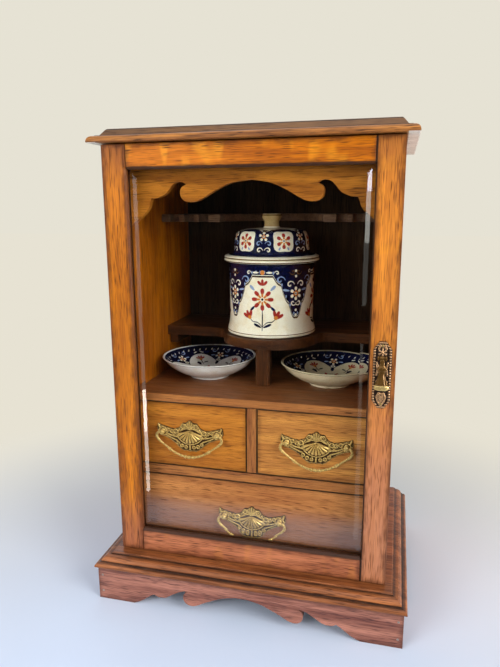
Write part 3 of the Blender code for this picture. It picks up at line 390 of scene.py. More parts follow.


# Plinth board: one oak board with a rounded nose, a quirk and a broad ovolo worked on its front and ends.
# The hollows of the moulding are darkened with painted shade.
def smooth_run(*points, steps=5):
    """A smooth run through points of any dimension."""
    ends = (points[0], *points, points[-1])
    run = []
    for a, b, c, d in zip(ends, ends[1:], ends[2:], ends[3:]):
        for t in [s / steps for s in range(steps)]:
            run.append(tuple(
                b[k] + t / 2 * (c[k] - a[k] + t * (2 * a[k] - 5 * b[k] + 4 * c[k] - d[k]
                                                   + t * (3 * b[k] - a[k] - 3 * c[k] + d[k])))
                for k in range(len(b))))
    return run + [points[-1]]


def moulded_board(node, profile, material):
    """A board as large as its CAD node, with an (inset, rise) moulding on the front and ends."""
    low, high = (1000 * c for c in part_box(node))
    verts = []
    for inset, rise in profile:
        x0, x1, y0, y1, z = low[0] + inset, high[0] - inset, low[1] + inset, high[1], low[2] + rise
        verts += [(x0, y0, z), (x1, y0, z), (x1, y1, z), (x0, y1, z)]
    faces = [(3, 2, 1, 0), tuple(len(verts) - 4 + i for i in range(4)), *walls(len(verts), 4)]
    fix(mesh_object(node + "_moulded", verts, faces, material, sharp=28), "cabinet", node)


lip_z = 1000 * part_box("plinth_board")[0][2]
nose = smooth_run((0.9, 0), (0.2, 0.5), (0, 1.5), (0.5, 3.3), (1.9, 4.5), (4, 4.75))
ovolo = smooth_run((5.6, 5.6), (6.2, 7.2), (7.6, 8.9), (10.2, 10.3), (13.8, 10.9), steps=6)
profile = [*nose, (4.5, 5.6), *ovolo, (14, 11.9), (14.6, 12.1), (15.4, 12.2), (15.8, 12.7)]
hollows = (("z", lip_z + 5.4, 1.2), ("z", lip_z + 11.4, 1.0), ("z", lip_z, 0.9))
rubbed = oak("oak_plinth_board", "x", "B66F40", "663618", "3A1A0B", shade_lines=hollows, polish=0.4)
moulded_board("plinth_board", profile, rubbed)


# Case sides and back: amber oak sides on the plinth, rebated behind for a back panel coloured very dark as
# painted shade. The sides are polished inside and out, with painted shade and grime near their edges; the
# back was never meant to be seen.
AMBER_OAK = ("CC7810", "90490A", "4F270C")
for node in ("left_side", "right_side"):
    dress(node, oak("oak_" + node, "z", *AMBER_OAK, bounds=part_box(node), shade_and_grime=0.45))
dress("back_panel", oak("oak_back_panel", "z", "4A3522", "2E1F15", "160E09", polish=0.0))


# Drawer boards: oak bottom, rail, shelf and divider between and around the drawers, housed in the sides.
# Polished on their front edges and on top of the shelf, where the dishes stand.
BROWN_OAK = ("CE8846", "8E5630", "4A2612")
for node, along in (("bottom_board", "x"), ("drawer_rail_board", "x"), ("drawer_shelf", "x"),
                    ("drawer_divider", "z")):
    low, high = (1000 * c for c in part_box(node))
    # Painted shade: dark lines along the edges beside the drawers' gaps, and on the shelf a darker top face.
    gaps = (("z", low[2], 1.2), ("z", high[2], 1.0))
    painted_shade = ()
    if node == "drawer_divider":
        gaps = (("x", low[0], 0.9), ("x", high[0], 1.6))
    if node == "drawer_shelf":
        gaps = (("z", low[2], 1.0),)
        painted_shade = (("74452A", 0.7, high[2] - 0.9, high[2] - 0.2, 0),)
    dress(node, oak("oak_" + node, along, *BROWN_OAK, shade_lines=gaps, tints_and_painted_light=painted_shade, polish=0.3))


# Pipe rack: shelf with a round seat for the jar, its post and bearers, and the notched rail above.
# Dark-stained oak with rounded front edges, glossy with polish, fixed between the sides.
DARK_OAK = ("643A1C", "3A1F0E", "1B0B05")
# The rail is paler and greyer than the rest: a painted sheen of light reflected on its polished front.
DARK_OAK_PAINTED_SHEEN = ("8E6C50", "5E4434", "2C1B12")
for node, along, ease, stain in (("pipe_rack_shelf", "x", 3.2, DARK_OAK),
                                 ("pipe_rack_rail", "x", 1.2, DARK_OAK_PAINTED_SHEEN),
                                 ("jar_seat_post", "z", 0.8, DARK_OAK),
                                 ("shelf_bearer_left", "y", 0.6, DARK_OAK),
                                 ("shelf_bearer_right", "y", 0.6, DARK_OAK)):
    dress(node, oak("oak_" + node, along, *stain, polish=0.6), ease)


# Pelmet: a scroll-sawn board of golden oak, its grain running across.
# It is glued between the sides under the top, and seen through the upper part of the glass.
# Painted shade and grime darken its edges.
golden = oak("oak_pelmet", "x", "D8892A", "985818", "5A2E10", shade_and_grime=0.4, bounds=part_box("pelmet"))
dress("pelmet", golden, 0.7)


# Top board: oak with an ovolo, a flat step and a cove worked on the front and ends.
# It is greyer above the step and darkened with painted shade in its hollows. The undersides of the
# overhanging ends carry painted light: they are coloured near white.
top_z = 1000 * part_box("top_board")[0][2]
ovolo = smooth_run((0.7, 0), (0.15, 0.4), (0, 1.4), (0.6, 3.6), (2, 5.4), (4.2, 6.5), (6.4, 6.8))
cove = smooth_run((9.8, 7.4), (10.6, 8.2), (12, 10), (13.6, 12), (14.8, 13.3), (16, 14))
# Painted shade: dark lines along the step and the top edge.
hollows = (("z", top_z + 7.2, 1.0), ("z", top_z + 13.2, 0.6))
greyed = ("5C4B38", 0.75, top_z + 5, top_z + 9, 0)
# Painted light: beyond 146 mm from the middle the undersides are coloured near white, as if lit from below.
bare_and_lit = ("FFFCF6", 1.0, top_z + 0.4, top_z + 0.1, 146)
aged = oak("oak_top_board", "x", "D08A42", "744624", "2A140A", shade_lines=hollows, tints_and_painted_light=(greyed, bare_and_lit))
moulded_board("top_board", [*ovolo, (6.7, 7.2), *cove], aged)


# Door frame: stiles running through, rails tenoned between them, all of honey-coloured oak.
# The top rail is quarter-sawn, with bright ray flecks. Painted shade and dirt darken the faces near their
# edges, the rails carry a band of painted shade along the glass, and the stiles painted shade at their tops.
# The stiles' lower ends are redder and duller with a painted reflection of the floor; the right stile's
# lighter, hazier colours and the bottom rail's pinkish ones are painted reflection too.
SIGHT = (119.6, 78.0, 463.7)
SHADED_TOP = ("84502E", 0.6, 440, 486, 0)
for node, along, flecks, colours, foot in (
        ("door_left_stile", "z", 0.0, ("D8800A", "944D05", "522807"), ("A86A56", 0.7, 135, 40, 0)),
        ("door_right_stile", "z", 0.15, ("E69234", "A85F20", "5E3012"), ("B47A62", 0.75, 335, 110, 0)),
        ("door_top_rail", "x", 0.5, ("E28206", "9C5002", "4E2404"), None),
        ("door_bottom_rail", "x", 0.1, ("CC7E54", "884C30", "44200E"), None)):
    low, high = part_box(node)
    if along == "x":
        # The tenons are out of sight, so the rail's painted shade and dirt start from its shoulders.
        low[0], high[0] = -SIGHT[0] / 1000, SIGHT[0] / 1000
    # Painted shade: a sharp dark line on the right stile along the glass.
    glass_edge_shade = (("x", SIGHT[0] + 0.3, 1.6),) if node == "door_right_stile" else ()
    honey = oak("oak_" + node, along, *colours, bounds=(low, high), flecks=flecks, shade_and_grime=0.7, shade_lines=glass_edge_shade,
                tints_and_painted_light=(foot, SHADED_TOP) if foot else (), sight=SIGHT if along == "x" else None)
    dress(node, honey, 0.7)


# Glass: a plate of clear glass with a polished bevel round its front, held from behind by an oak bead.
# It lets lamp light through to the inside, as thin glass does, and its reflections are sharp.
clear = new_material("polished_plate_glass")
in_shadow = add(clear, "LightPath", {}, "Is Shadow Ray")
passed = add(clear, "MapRange", {0: in_shadow, 3: 1.0, 4: 0.05})
spot = add(clear, "TexCoord", {}, "Object")
# Smears from wiping are about 25 mm across and blur the reflections a little.
smear = add(clear, "TexNoise", {"Vector": spot, "Scale": 1000 / 25, "Detail": 3.0})
smear = add(clear, "MapRange", {0: smear, 1: 0.35, 2: 0.8, 3: 0.0, 4: 0.001})
skin = add(clear, "BsdfPrincipled", {"Base Color": srgb("FCFEFD"), "Transmission Weight": 1.0, "IOR": 1.5,
                                     "Alpha": passed, "Roughness": smear})
add(clear, "OutputMaterial", {"Surface": skin}, None)
BEVEL_W, BEVEL_D = 13.0, 1.83
low, high = (1000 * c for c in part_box("door_glass"))
verts = []
for inset, y in ((0, high[1]), (0, low[1] + BEVEL_D), (BEVEL_W, low[1])):
    x0, x1, z0, z1 = low[0] + inset, high[0] - inset, low[2] + inset, high[2] - inset
    verts += [(x0, y, z0), (x1, y, z0), (x1, y, z1), (x0, y, z1)]
faces = [(3, 2, 1, 0), (8, 9, 10, 11), *walls(len(verts), 4)]
fix(mesh_object("door_glass_bevelled", verts, faces, clear, smooth=False), "door", "door_glass")
dress("glazing_bead", oak("oak_glazing_bead", "z", "4A2A16", "2E180C", "1A0C06"), 0.3)


# Hinges: two pressed brass butts, their knuckles outside the left edge of the door.
# Each leaf lies flush in its bed and is fixed with three countersunk screws.
def metal(name, bright, dull, rough, hollows=False):
    """Old brass: a soft golden shine where it is rubbed and, with marked hollows, black in them."""
    mat = new_material(name)
    spot = add(mat, "TexCoord", {}, "Object")
    # Spots of tarnish are about 1.4 mm across.
    spots = add(mat, "TexNoise", {"Vector": spot, "Scale": 1000 / 1.4, "Detail": 4.0, "Roughness": 0.6})
    spots = add(mat, "MapRange", {0: spots, 1: 0.35, 2: 0.7})
    tarnish = add(mat, "Math", {"operation": "MULTIPLY", 0: spots, 1: 0.45})
    if hollows:
        hollow = add(mat, "Attribute", {"attribute_name": "hollow"}, "Fac")
        tarnish = add(mat, "Math", {"operation": "MULTIPLY_ADD", 0: spots, 1: 0.25, 2: hollow})
        tarnish = add(mat, "MapRange", {0: tarnish, 1: 0.26, 2: 0.74})
    colour = add(mat, "Mix", {"data_type": "RGBA", 0: tarnish, 6: srgb(bright), 7: srgb(dull)}, 2)
    gloss = add(mat, "MapRange", {0: tarnish, 3: rough, 4: rough + 0.3})
    bare_and_lit = add(mat, "MapRange", {0: tarnish, 3: 0.65, 4: 0.3})
    bump = add(mat, "Bump", {"Strength": 0.12, "Distance": 0.0002, "Height": spots})
    skin = add(mat, "BsdfPrincipled", {"Base Color": colour, "Roughness": gloss, "Metallic": bare_and_lit,
                                       "Normal": bump})
    add(mat, "OutputMaterial", {"Surface": skin}, None)
    return mat


def screws(name, places, facing, radius, material, body):
    """Countersunk screw heads, each in two halves with the slot between, lying flush."""
    verts = []
    faces = []
    spin = Vector((0, 0, 1)).rotation_difference(Vector(facing)).to_matrix()
    slot_half = 0.14
    limit = math.asin(slot_half)
    rim = [limit + (math.pi - 2 * limit) * i / 10 for i in range(11)]
    count = len(rim)
    for n, at in enumerate(places):
        slot_turn = Matrix.Rotation(0.7 + 1.9 * n, 3, "Z")
        for side in (-1, 1):
            start = len(verts)
            for rise in (0.06, -radius * 0.4):
                for t in rim:
                    p = slot_turn @ Vector((radius * math.cos(t), side * radius * math.sin(t), rise))
                    verts.append(Vector(at) + spin @ p)
            faces.append(tuple(start + i for i in range(count)))
            faces.append(tuple(start + count + i for i in reversed(range(count))))
            faces += walls(len(verts), count, start, turned=True)
    fix(mesh_object(name, verts, faces, material, smooth=False), body)


SCREW_R, SCREW_IN, SCREW_END = 1.9, 5.2, 6
DOOR_LEAF_Y, CASE_LEAF_Y = -79.0, -78.7
butt_brass = metal("aged_brass_butts", "A68D52", "5E4A22", 0.3)
for tag in ("upper", "lower"):
    for part in ("frame_leaf", "door_leaf", "pin"):
        dress("hinge_%s_%s" % (tag, part), butt_brass, 0.2)
    low, high = (1000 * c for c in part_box("hinge_%s_door_leaf" % tag))
    rows = [low[2] + SCREW_END, (low[2] + high[2]) / 2, high[2] - SCREW_END]
    for part, leaf_y, facing, body in (("door", DOOR_LEAF_Y, 1, "door"),
                                       ("case", CASE_LEAF_Y, -1, "cabinet")):
        places = [(high[0] - SCREW_IN, leaf_y, z) for z in rows]
        screws("hinge_%s_%s_screws" % (tag, part), places, (0, facing, 0), SCREW_R, butt_brass, body)


# Door plate and drop: a stamped brass plate with beaded edges, a rosette and foliage, held by two pins.
# The bell-shaped drop hangs from a pin between two lugs and swings forward to pull the door.
def ridge(distance, width):
    """The round cross-section of a raised line."""
    return np.sqrt(np.clip(1 - (distance / width) ** 2, 0, 1))


def to_line(x, z, points):
    """Distance from grid points to a bent line."""
    nearest = np.full_like(x, 1e9)
    for (ax, az), (bx, bz) in zip(points, points[1:]):
        dx, dz = bx - ax, bz - az
        t = np.clip(((x - ax) * dx + (z - az) * dz) / (dx * dx + dz * dz), 0, 1)
        nearest = np.minimum(nearest, np.hypot(x - ax - t * dx, z - az - t * dz))
    return nearest


def stamped(name, x, z, height, centre, back_y, material):
    """A stamped plate: a grid raised in front of a flat back, its hollows marked for the tarnish."""
    columns, rows = x.shape
    count = columns * rows
    front = np.stack([centre[0] + x, back_y - height, centre[1] + z], axis=-1).reshape(-1, 3)
    index = np.arange(count).reshape(columns, rows)
    edge = [int(n) for n in (*index[:, 0], *index[-1, 1:], *index[-2::-1, -1], *index[0, -2:0:-1])]
    verts = [tuple(p) for p in front] + [(front[n][0], back_y, front[n][2]) for n in edge]
    cells = np.stack([index[:-1, :-1], index[1:, :-1], index[1:, 1:], index[:-1, 1:]], axis=-1)
    faces = [tuple(f) for f in cells.reshape(-1, 4).tolist()]
    ends = list(range(count, len(verts)))
    faces += [(b, a, d, c) for a, b, c, d in zip(edge, edge[1:] + edge[:1], ends[1:] + ends[:1], ends)]
    faces.append(tuple(reversed(ends)))
    made = mesh_object(name, verts, faces, material, sharp=60)
    blurred = height.copy()
    for again in range(3):
        blurred = sum(np.roll(blurred, (i, j), (0, 1)) for i in (-2, 0, 2) for j in (-2, 0, 2)) / 9
    deep = 0.75 * (1 - (height - height.min()) / np.ptp(height)) ** 1.5
    deep += 1.3 * np.clip(blurred - height, 0, 1)
    hollow = made.data.attributes.new("hollow", "FLOAT", "POINT")
    hollow.data.foreach_set("value", np.concatenate([np.clip(deep, 0, 1).reshape(-1), np.ones(len(ends))]))
    return made


stamped_brass = metal("stamped_tarnished_brass", "E0B080", "2A1A10", 0.2, hollows=True)
plate_low, plate_high = (1000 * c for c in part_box("door_plate"))
PLATE_X = (plate_low[0] + plate_high[0]) / 2
PLATE_Z = (plate_low[2] + plate_high[2]) / 2
half_w = (plate_high[0] - plate_low[0]) / 2
half_h = (plate_high[2] - plate_low[2]) / 2
DOOR_FACE = 1000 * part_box("door_left_stile")[0][1]
PLATE_GAP = 0.05
v, u = np.meshgrid(np.linspace(-1, 1, 171), np.linspace(-1, 1, 49))
pz = v * half_h
reach = half_w - (half_w - 3) * np.clip((np.abs(pz) - (half_h - 7.5)) / 7.5, 0, 1)
px = u * reach
inset = np.minimum((1 - np.abs(u)) * reach, half_h - np.abs(pz))
height = 0.8 + 0.2 * np.sin(px * 2.3) * np.sin(pz * 2.3)
height = np.maximum(height, 0.8 + 1.3 * ridge(inset - 1.2, 1.15) * np.abs(np.cos(math.pi * pz / 2.6)))
r, t = np.hypot(px, pz - 22), np.arctan2(px, pz - 22)
height = np.maximum(height, 0.9 + 1.5 * ridge(r, 4.6) * (0.6 + 0.4 * np.cos(6 * t)))
height = np.maximum(height, 0.9 + 1.9 * ridge(r, 1.4))
for leaf in (((0, -30), (2.8, -25.5), (4.0, -21), (2.2, -17.5)), ((0, -26), (1.7, -22), (0.8, -18)),
             ((0, -14), (3.2, -11), (4.6, -6)), ((0, 27.5), (2.4, 29), (3.4, 25.4)),
             ((4.9, 0), (3.9, 6), (4.9, 12))):
    height = np.maximum(height, 0.9 + 1.2 * ridge(to_line(np.abs(px), pz, leaf), 1.1))
height = np.maximum(height, 0.9 + 1.5 * ridge(np.hypot(px, pz + 21.5), 1.7))
plate = stamped("door_plate_stamped", px, pz, height, (PLATE_X, PLATE_Z), DOOR_FACE - PLATE_GAP,
                stamped_brass)
fix(plate, "door", "door_plate")
pins = [(PLATE_X, DOOR_FACE - 1.4, PLATE_Z + z) for z in (28.6, -28.2)]
pin_head = [(1.3, -0.4), (1.25, 0.5), (0.9, 1.0), (0.3, 1.2)]
heads("door_plate_pins", pins, (0, -1, 0), pin_head, butt_brass, "door")


def lathe(name, profile, at, material, sides=96, flat=1.0, sharp=None, flutes=0, fluted=(0, 0)):
    """A turned shape, its axis upright: (radius, rise) points, flattened in y, fluted between two rises."""
    verts = []
    for radius, rise in profile:
        depth = 0.12 if fluted[0] < rise < fluted[1] else 0
        for i in range(sides):
            t = math.tau * i / sides
            r = max(radius, 0.001) * (1 - depth * abs(math.sin(flutes * t / 2)))
            verts.append((at[0] + r * math.sin(t), at[1] - flat * r * math.cos(t), at[2] + rise))
    faces = [tuple(range(sides)), tuple(len(verts) - sides + j for j in reversed(range(sides)))]
    return mesh_object(name, verts, faces + walls(len(verts), sides, turned=True), material, sharp=sharp)


PIVOT_Y = DOOR_FACE - 4.5
PIVOT_Z = PLATE_Z + 17.0
DROP_OUT = 1.1
neck = smooth_run((0, -1.0), (2.0, -1.5), (2.0, -4.0), (2.6, -6.4), (4.3, -8.4), (4.6, -10.4), (3.4, -12.4),
                  (3.2, -15), (3.9, -18.5), (5.2, -22.5), (6.0, -25.2), steps=4)
band = smooth_run((6.1, -25.6), (6.7, -26.2), (6.8, -27.6), (6.7, -29), (5.2, -30.2), (0, -30.7), steps=3)
drop_brass = metal("cast_tarnished_brass", "7E5A2A", "1A110A", 0.16)
# The foot is paler brass than the bell: a painted highlight on its lip.
foot_brass_painted_highlight = metal("cast_brass_painted_highlight", "E8CC86", "8E6C34", 0.18)
drop_at = (PLATE_X, PIVOT_Y - DROP_OUT, PIVOT_Z)
drop = lathe("drop_pull_bell", neck, drop_at, drop_brass, 72, 0.5, 40, 12, (-25, -13))
foot = lathe("drop_pull_foot", band, drop_at, foot_brass_painted_highlight, 72, 0.5, 40)
fix(foot, "drop_pull")
fix(drop, "drop_pull", "drop_pull")
for name, x, radius, length, body in (("drop_pull_eye", 0, 2.4, 4.2, "drop_pull"),
                                      ("door_plate_pin", 0, 0.95, 9.0, "door"),
                                      ("door_plate_lug_left", -3.5, 2.3, 1.7, "door"),
                                      ("door_plate_lug_right", 3.5, 2.3, 1.7, "door")):
    bar = [(radius * 0.8, -length / 2), (radius, -length / 2 + 0.25), (radius, length / 2 - 0.25),
           (radius * 0.8, length / 2)]
    heads(name, [(PLATE_X + x, PIVOT_Y, PIVOT_Z)], (1, 0, 0), bar, drop_brass, body, 24)


# Ball catch: a brass barrel let into the top edge of the right stile, with a sprung ball.
# The ball is lightly polished by rubbing under the top board.
dress("catch_barrel", butt_brass, 0.2)
dress("catch_ball", butt_brass, 0.05)


# Drawers: amber fronts lap-dovetailed to thin, bare oak sides, with through-dovetailed backs.
# The bottoms slide in grooves; only the fronts are polished.
# The long front is darker and greyer towards its bottom: painted shade from the door's bottom rail and a
# painted reflection.
for tag, light, dark, painted_shade in (("left", "DA8E30", "A45E1E", ()), ("right", "E6A24E", "B07036", ()),
                                ("long", "E29B57", "AC6A3A", (("7C5A4E", 0.75, 122, 84, 0),))):
    node = tag + "_drawer_front"
    low, high = (1000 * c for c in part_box(node))
    # Painted shade: dark lines along the gaps round each front, and painted shade with grime near its edges.
    gaps = (("x", low[0], 1.0), ("x", high[0], 1.0), ("z", low[2], 1.4), ("z", high[2], 1.0))
    amber = oak("oak_" + node, "x", light, dark, "66340F", bounds=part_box(node), shade_and_grime=0.4, shade_lines=gaps,
                tints_and_painted_light=painted_shade)
    dress(node, amber, 0.5)
    for part, along in (("left_side", "y"), ("right_side", "y"), ("back", "x"), ("bottom", "x")):
        node = "%s_drawer_%s" % (tag, part)
        dress(node, oak("oak_" + node, along, "B58A55", "8A6238", "5A3C20", polish=0.0), 0.3)


# Drawer pulls: stamped brass plates with a fan shell, crest, scrolls and wings, and a cast bail on two
# posts, which are held by nuts inside the drawer.
# Polish has stayed bright on the raised parts and gone black in the hollows.
WING = 38
CREST = [(0, 17), (1.2, 16.8), (2.2, 16.2), (3, 14.9), (3.8, 14.4), (4.6, 14.6), (5.4, 13.6), (6.4, 14.2),
         (7.6, 14.2), (8.8, 13.4), (9.8, 12.0), (10.6, 10.6), (11.6, 9.3), (13, 8.0), (14.4, 7.4),
         (15.8, 7.5), (17, 6.6), (18.4, 6.2), (20, 6.9), (21.6, 6.8), (23, 7.0), (25, 7.8), (27, 8.0),
         (29, 8.9), (31, 9.2), (33, 9.6), (35, 10.6), (36.6, 11.8), (37.4, 9), (WING, 6)]
FRINGE = [(0, -19), (1.4, -18), (2.8, -18.6), (4.2, -17.8), (5.6, -18.5), (7, -18.6), (8.4, -17.6),
          (9.8, -17.2), (11.2, -15.9), (12.4, -14.8), (13.8, -13.9), (15, -12.8), (16.4, -11.2), (18, -9.7),
          (20, -8.4), (22, -6.8), (24, -5.7), (27, -4.4), (30, -3.1), (33, -2.6), (35, -1.4), (36.6, 0.6),
          (37.4, 2.6), (WING, 4.4)]
POST_X, BAIL_OUT, BAIL_UP = 31, 5.1, 3.0


def volute(x, z, centre, radius):
    """A small curled scroll: a ring with a boss in it."""
    r = np.hypot(x - centre[0], z - centre[1])
    return np.maximum(ridge(r - radius, radius * 0.42), 0.9 * ridge(r, radius * 0.42))


v, px = np.meshgrid(np.linspace(0, 1, 85), np.linspace(-WING, WING, 253))
ax = np.abs(px)
low_edge = np.interp(ax, *zip(*FRINGE))
high_edge = np.interp(ax, *zip(*CREST))
pz = low_edge + (high_edge - low_edge) * v
inset = np.minimum(np.minimum(pz - low_edge, high_edge - pz), (WING - ax) * 1.4)
height = 0.5 + 0.15 * np.sin(px * 1.9 + pz) * np.sin(pz * 1.7)
height = np.maximum(height, 0.55 + 0.7 * ridge(inset - 0.8, 0.8))
r, down = np.hypot(px, pz - 6), np.arctan2(px, 6 - pz)
rib = np.abs(np.sin(math.pi * 9 * (down / 2.5 + 0.5)))
brim = 14.0 + 1.0 * rib
swell = 0.8 + 2.2 * np.sin(math.pi * 0.88 * np.clip(r / brim, 0, 1) ** 0.8)
shell = 0.5 + swell * (0.3 + 0.7 * rib ** 0.7)
height = np.where((np.abs(down) < 1.25) & (r < brim), shell, height)
height = np.maximum(height, 0.6 + 1.4 * ridge(r - 16.2, 0.75) * (np.abs(down) < 1.2))
for leaf, wide, tall in ((((0, 7.4), (0, 16.2)), 1.2, 2.1), (((0.8, 7.6), (2.8, 14.6)), 1.1, 1.9),
                         (((1.4, 7.4), (4.9, 12.6)), 1.1, 1.8), (((0, -11.5), (0, -16)), 1.1, 1.5),
                         (((11, 7.6), (13, 4.6), (13.6, 0.4), (12.6, -3.4)), 0.9, 1.6),
                         (((13.5, -2.5), (18, -1.8), (22.5, -0.9), (26.4, 0.8)), 0.95, 1.6),
                         (((14.5, -6.8), (18.6, -5.2), (23, -3.4), (27, -1.4)), 0.9, 1.4),
                         (((34.8, 6.8), (36.4, 10.8)), 1.3, 1.7), (((34.6, 0.6), (36.6, 3.4)), 1.0, 1.4),
                         (((2.2, 8.0), (5.4, 7.6), (9.4, 5.4)), 0.8, 1.5),
                         (((4.4, 9.4), (8.2, 7.8), (11.2, 4.2)), 0.7, 1.4)):
    height = np.maximum(height, 0.6 + tall * ridge(to_line(ax, pz, leaf), wide))
for centre, radius in (((7.6, 10.4), 2.3), ((16.2, 4.0), 2.2), ((20.6, 3.6), 1.7), ((25.2, 5.0), 1.8),
                       ((4.6, -13.4), 1.6), ((9.4, -12.2), 1.7), ((13.6, -9.4), 1.6), ((18.2, 0.9), 1.2)):
    height = np.maximum(height, 0.6 + 1.7 * volute(ax, pz, centre, radius))
r, around = np.hypot(ax - POST_X, pz - BAIL_UP), np.arctan2(ax - POST_X, pz - BAIL_UP)
height = np.where(r < 4.6, 0.45, height)
height = np.maximum(height, 0.6 + 1.7 * ridge(r - 4.6, 0.95) * (0.8 + 0.2 * np.cos(9 * around)))
pull_relief = 0.4 + np.where(inset <= 0.001, 0.35, height)

# Half of the bail, from its eye in the post to the middle: across, up and radius, with collars and swells.
bail_half = [(30.2, 0, 0.9), (32.4, 0, 0.9), (33.7, 0, 0.95), (34.3, -0.1, 1.4), (35.4, -0.6, 1.45),
             (36.5, -1.7, 1.5), (37.2, -3.4, 1.6), (37.3, -5.2, 1.7), (36.6, -7.2, 1.65), (35.2, -9.0, 1.5),
             (33.4, -10.6, 1.3), (30.8, -12.6, 1.05), (28, -14.6, 1.0), (25.5, -16.5, 1.0),
             (23.8, -17.9, 1.0), (23.4, -18.2, 1.75), (22.7, -18.7, 1.9), (22.0, -19.2, 1.75),
             (21.7, -19.4, 1.0), (21.4, -19.6, 1.6), (20.8, -20.1, 1.8), (20.3, -20.4, 1.6),
             (20, -20.6, 1.0), (16.5, -22.6, 1.1), (12, -24.6, 1.2), (8, -25.9, 1.2), (5.4, -26.4, 1.2),
             (5.1, -26.5, 1.75), (4.2, -26.6, 1.9), (3.4, -26.7, 1.75), (3.1, -26.75, 1.0),
             (1.9, -26.85, 1.0), (1.6, -26.9, 1.75), (0.8, -26.9, 1.9), (0.2, -26.9, 1.75)]
bail_run = bail_half + [(-x, z, r) for x, z, r in reversed(bail_half)]
post = [(2.9, 0), (2.9, 1.2), (2.2, 1.8), (2.1, 2.6), (2.7, 3.4), (2.9, 4.4), (2.8, 5.6), (2.2, 6.5),
        (1.2, 7.0), (0.3, 7.1)]
nut = [(3.8, 0), (3.8, 2.2), (3.3, 2.6), (1.3, 2.6), (1.3, 4.2), (0.8, 4.4)]
FRONT_THICK = 10.0
DRAWER_FACE = 1000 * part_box("long_drawer_front")[0][1]
SIDES = 14
bail_brass = metal("cast_polished_brass", "F4D282", "8A662E", 0.22)
pull_brass = metal("stamped_polished_brass", "FDD682", "452C10", 0.22, hollows=True)
for tag in ("left", "right", "long"):
    low, high = (1000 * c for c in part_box(tag + "_drawer_pull_plate"))
    cx, cz = (low[0] + high[0]) / 2, high[2] - CREST[0][1]
    body = tag + "_drawer"
    plate = stamped(tag + "_pull_stamped", px, pz, pull_relief, (cx, cz), DRAWER_FACE - PLATE_GAP,
                    pull_brass)
    fix(plate, body, tag + "_drawer_pull_plate")
    posts = [(cx + s * POST_X, DRAWER_FACE - 0.5, cz + BAIL_UP) for s in (-1, 1)]
    heads(tag + "_pull_posts", posts, (0, -1, 0), post, bail_brass, body, 24)
    nuts = [(cx + s * POST_X, DRAWER_FACE + FRONT_THICK, cz + BAIL_UP) for s in (-1, 1)]
    heads(tag + "_pull_nuts", nuts, (0, 1, 0), nut, butt_brass, body, 6)
    verts = []
    for before, (x, z, r), after in zip(bail_run[:1] + bail_run, bail_run, bail_run[1:] + bail_run[-1:]):
        dx, dz = after[0] - before[0], after[1] - before[1]
        length = math.hypot(dx, dz)
        for t in [math.tau * k / SIDES for k in range(SIDES)]:
            out, over = 0.92 * r * math.sin(t), r * math.cos(t)
            verts.append((cx + x - over * dz / length, DRAWER_FACE - BAIL_OUT + out,
                          cz + BAIL_UP + z + over * dx / length))
    faces = [tuple(range(SIDES)), tuple(len(verts) - SIDES + k for k in reversed(range(SIDES)))]
    faces += walls(len(verts), SIDES, turned=True)
    swing = mesh_object(tag + "_bail_cast", verts, faces, bail_brass, sharp=50)
    fix(swing, tag + "_bail", tag + "_drawer_bail")


# Tobacco jar and lid: thrown cream earthenware under a clear glaze, with a flanged rim and a domed lid.
# Painted in cobalt under the glaze and in iron red, orange and pale blue over it, and lined in gilt.
def glaze(name, colour, clouded, rough=0.08):
    """Fired glaze or enamel: a wet shine over a slightly clouded colour, with a faint ripple."""
    mat = new_material(name)
    spot = add(mat, "TexCoord", {}, "Object")
    # Clouds are about 9 mm across and ripples 5 mm.
    cloud = add(mat, "TexNoise", {"Vector": spot, "Scale": 1000 / 9, "Detail": 4.0})
    share = add(mat, "MapRange", {0: cloud, 1: 0.46, 2: 0.85})
    tinted = add(mat, "Mix", {"data_type": "RGBA", 0: share, 6: srgb(colour), 7: srgb(clouded)}, 2)
    ripple = add(mat, "TexNoise", {"Vector": spot, "Scale": 1000 / 5, "Detail": 1.0})
    bump = add(mat, "Bump", {"Strength": 0.05, "Distance": 0.0003, "Height": ripple})
    gloss = add(mat, "MapRange", {0: cloud, 3: rough, 4: rough + 0.08})
    skin = add(mat, "BsdfPrincipled", {"Base Color": tinted, "Roughness": gloss, "Normal": bump, "IOR": 1.5})
    add(mat, "OutputMaterial", {"Surface": skin}, None)
    return mat


cream = glaze("cream_glazed_earthenware", "FFFAE2", "F2E3B6")
PAINTS = {"cream": cream,
          "cobalt": glaze("cobalt_underglaze", "0C1236", "070A20"),
          "red": glaze("iron_red_enamel", "A8342A", "8E2A22"),
          "orange": glaze("orange_enamel", "DB8A3C", "C6702C"),
          "blue": glaze("pale_blue_enamel", "93A9CC", "7E96BE"),
          "gilt": glaze("gilt_line", "6E5020", "4E3612", 0.2),
          "honey": glaze("honey_glaze", "CDB27A", "B69658")}


